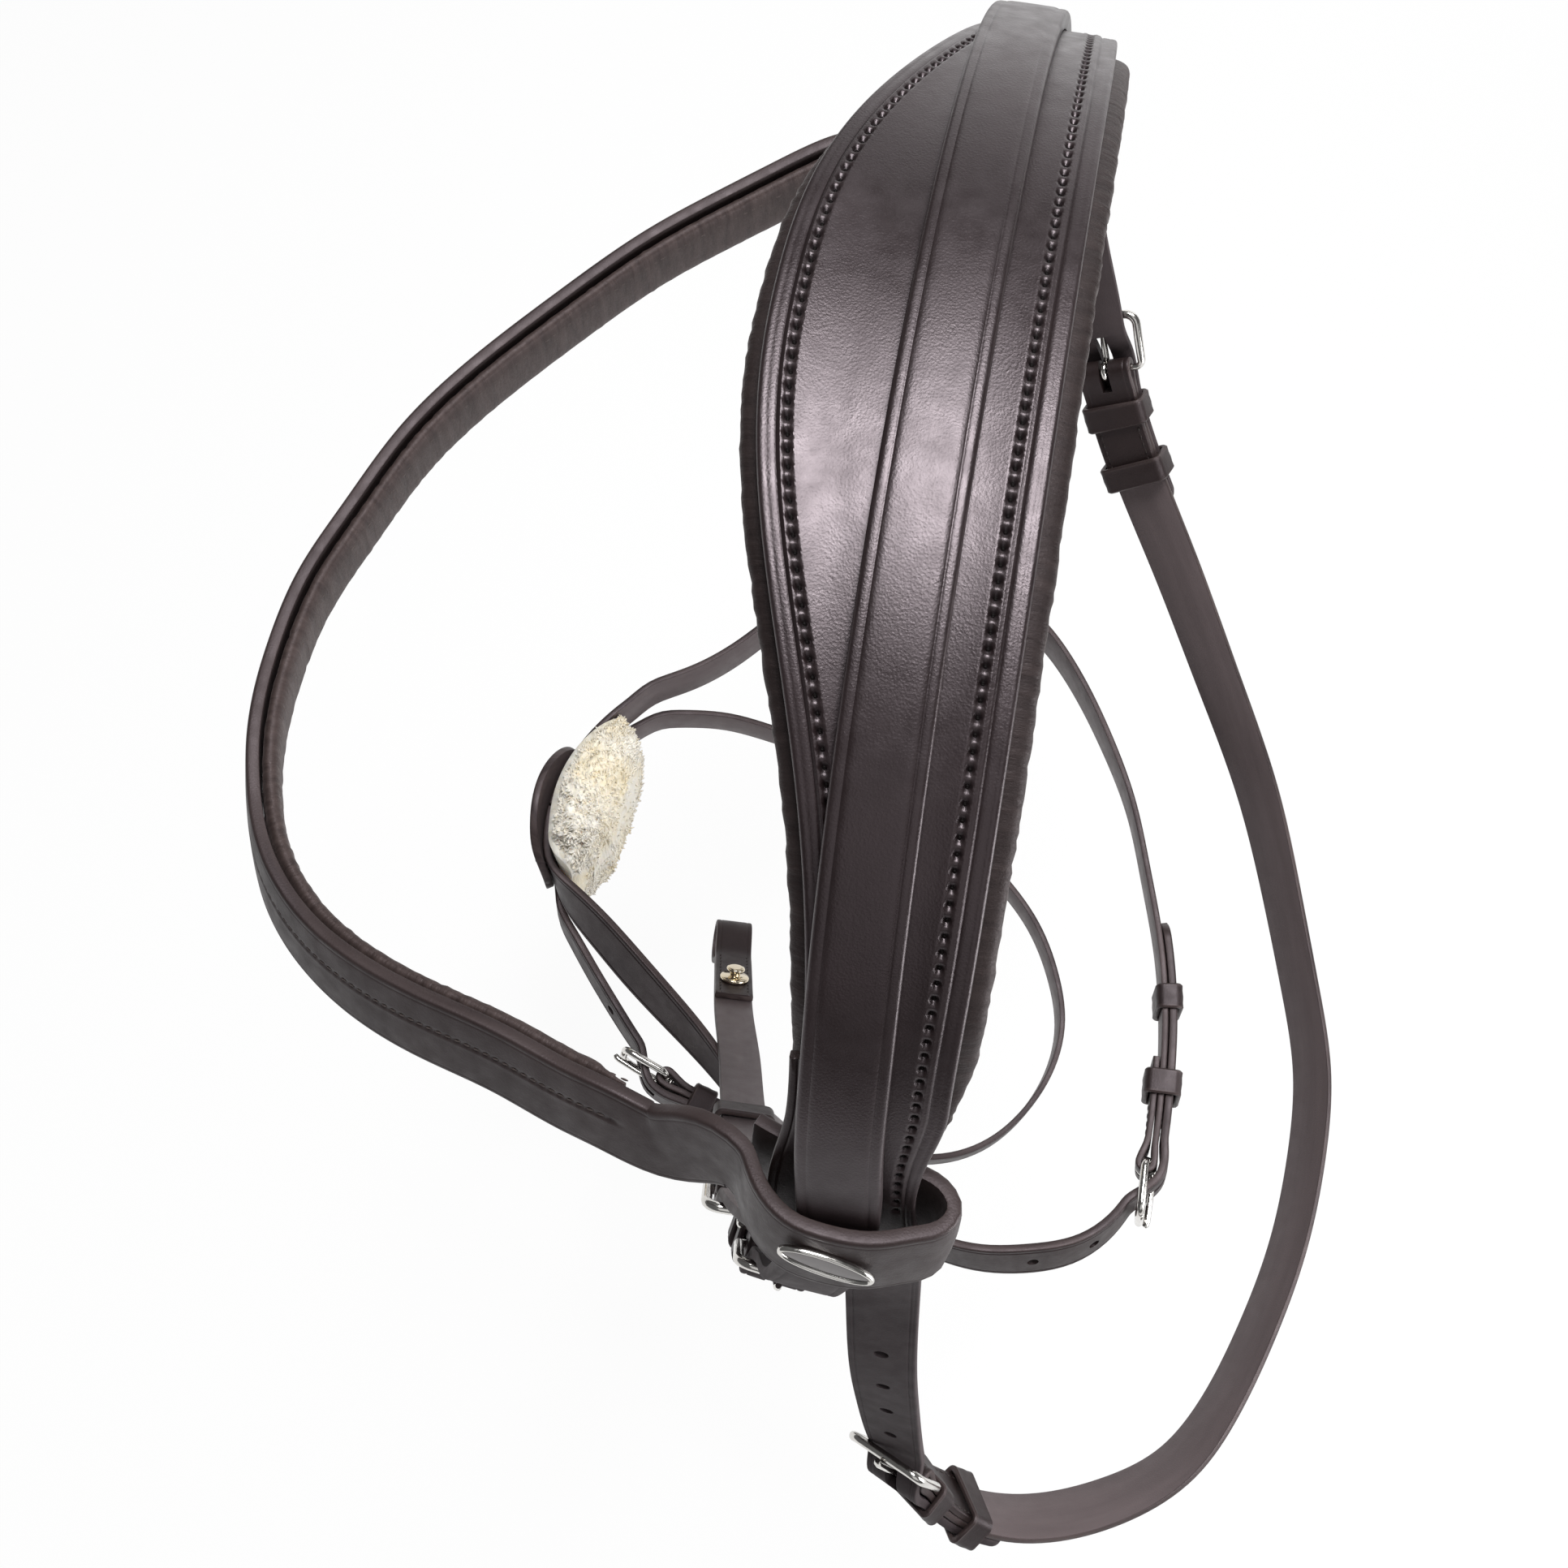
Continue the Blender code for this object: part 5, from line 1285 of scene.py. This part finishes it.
def makeFleece(course, shift):
    # A thick pad behind the straps, its pile in lumps and short curled locks.
    front = underFrame - leather["thick"] / 2 - nose["room"]
    half, long = nose["fleeceWidth"] / 2, nose["fleeceHalf"]
    rings, roots = [], []
    for reach in long * np.sin(np.linspace(-math.pi / 2, math.pi / 2, 90)):
        part, s = reach / long, reach + nose["fleeceShift"]
        cap = max(1 - abs(part) ** 7, 0) ** 0.5
        tall = half * (1 - 0.45 * max(-part, 0) ** 2) * (0.55 + 0.45 * cap)
        thick = nose["fleeceThick"] * (1 - 0.34 * part ** 2) * (0.5 + 0.5 * cap)
        ring = []
        for k in range(84):
            turn = math.pi * (0.5 - 0.5 * math.cos(math.pi * (k + 0.5) / 84))
            a = tall * swollen(math.cos(turn), 0.5)
            h = -thick * (0.10 + 0.90 * math.sin(turn) ** 0.6)
            ring.append((a * (1 - 0.34 * math.exp(h / 5.5)), h))
        for a in np.linspace(-tall * 0.7, tall * 0.7, 24):
            ring.append((a, -0.2))
        ring = np.array(ring)
        rings.append(course.at(np.full(len(ring), s), ring[:, 0] - shift, front + ring[:, 1]))
    rings = np.array(rings)
    centre = rings.reshape(-1, 3).mean(axis=0)
    pushed = np.empty_like(rings)
    for i in range(len(rings)):
        for k in range(rings.shape[1]):
            spot = rings[i, k]
            pile = 1.0 if k < 84 else 0.0
            edge = min(i, len(rings) - 1 - i) / 6
            where = Vector(spot)
            lump = noise.noise(where * 0.13) * 0.8 + noise.noise(where * 0.3) * 0.9
            lump += noise.noise(where * 0.75) * 0.7 + noise.noise(where * 1.7) * 0.35
            out = unit(spot - centre)
            pushed[i, k] = spot + out * (lump - 0.5) * 1.9 * pile * min(edge + 0.3, 1)
            if pile and (i + k) % 2 == 0:
                roots.append((pushed[i, k], out))
    fleece = wrapGrid("fleecePad", pushed, angle=180)
    finishPiece(fleece, paints["fleece"], "bridle", "fleece", "sheepskin_pad")
    makeLocks(roots)


def makeLocks(roots):
    # Short tufts of three corners and three rings, so that the pile's outline is soft.
    sides = [(low + m, low + (m + 1) % 3, low + (m + 1) % 3 + 3, low + m + 3)
             for low in (0, 3) for m in range(3)]
    sides += [(2, 1, 0), (6, 7, 8)]
    corners, faces = [], []
    for root, out in roots:
        where = Vector(root)
        bend = np.array(noise.noise_vector(where * 1.7))
        lean = np.array(noise.noise_vector(where * 0.35))
        reach = 1.5 + 0.8 * noise.noise(where * 2.3)
        side = unit(np.cross(out, (0.31, 0.62, 0.72)))
        other = np.cross(out, side)
        spot, way = root - out * 0.5, unit(out * 0.8 + bend * 0.7 + lean * 1.2)
        tuft = []
        for width in (0.55, 0.48, 0.2):
            tuft += [spot + side * width, spot - side * width * 0.5 + other * width * 0.87,
                     spot - side * width * 0.5 - other * width * 0.87]
            spot = spot + way * reach / 2
            way = unit(way + lean * 0.8 + bend * 0.5)
        first = len(corners)
        corners += tuft
        faces += [tuple(first + v for v in face) for face in outward(tuft, sides)]
    meshPiece("fleeceLocks", corners, faces, paints["fleece"], "fleece")


paints = {
    "leather": leatherPaint("bridleLeather", tones["leather"]),
    "crown": leatherPaint("crownLeather", tones["crown"]),
    "band": leatherPaint("bandLeather", tones["band"]),
    "lining": liningPaint("padLeather", (0.009, 0.0056, 0.0052), (0.022, 0.0150, 0.0140)),
    "bandLining": liningPaint("bandSuede", (0.026, 0.0175, 0.0160), (0.060, 0.043, 0.040)),
    "thread": threadPaint("brownThread", (0.030, 0.022, 0.021)),
    "darkThread": threadPaint("darkThread", (0.004, 0.0025, 0.0025), 0.1),
    "paleThread": threadPaint("paleThread", (0.110, 0.085, 0.080)),
    "steel": steelPaint("polishedSteel"),
    "brass": steelPaint("paleBrass", (0.70, 0.61, 0.46)),
    "badge": steelPaint("badgeField", (0.16, 0.15, 0.15)),
    "fleece": fleecePaint("creamFleece")}

placeCamera()
placeStage()
makePanel()
makeCrown()
for cheekSide in ("near", "off"):
    makeCheekpiece(cheekSide)
makeBrowband()
makeNose()
print("all pieces made")
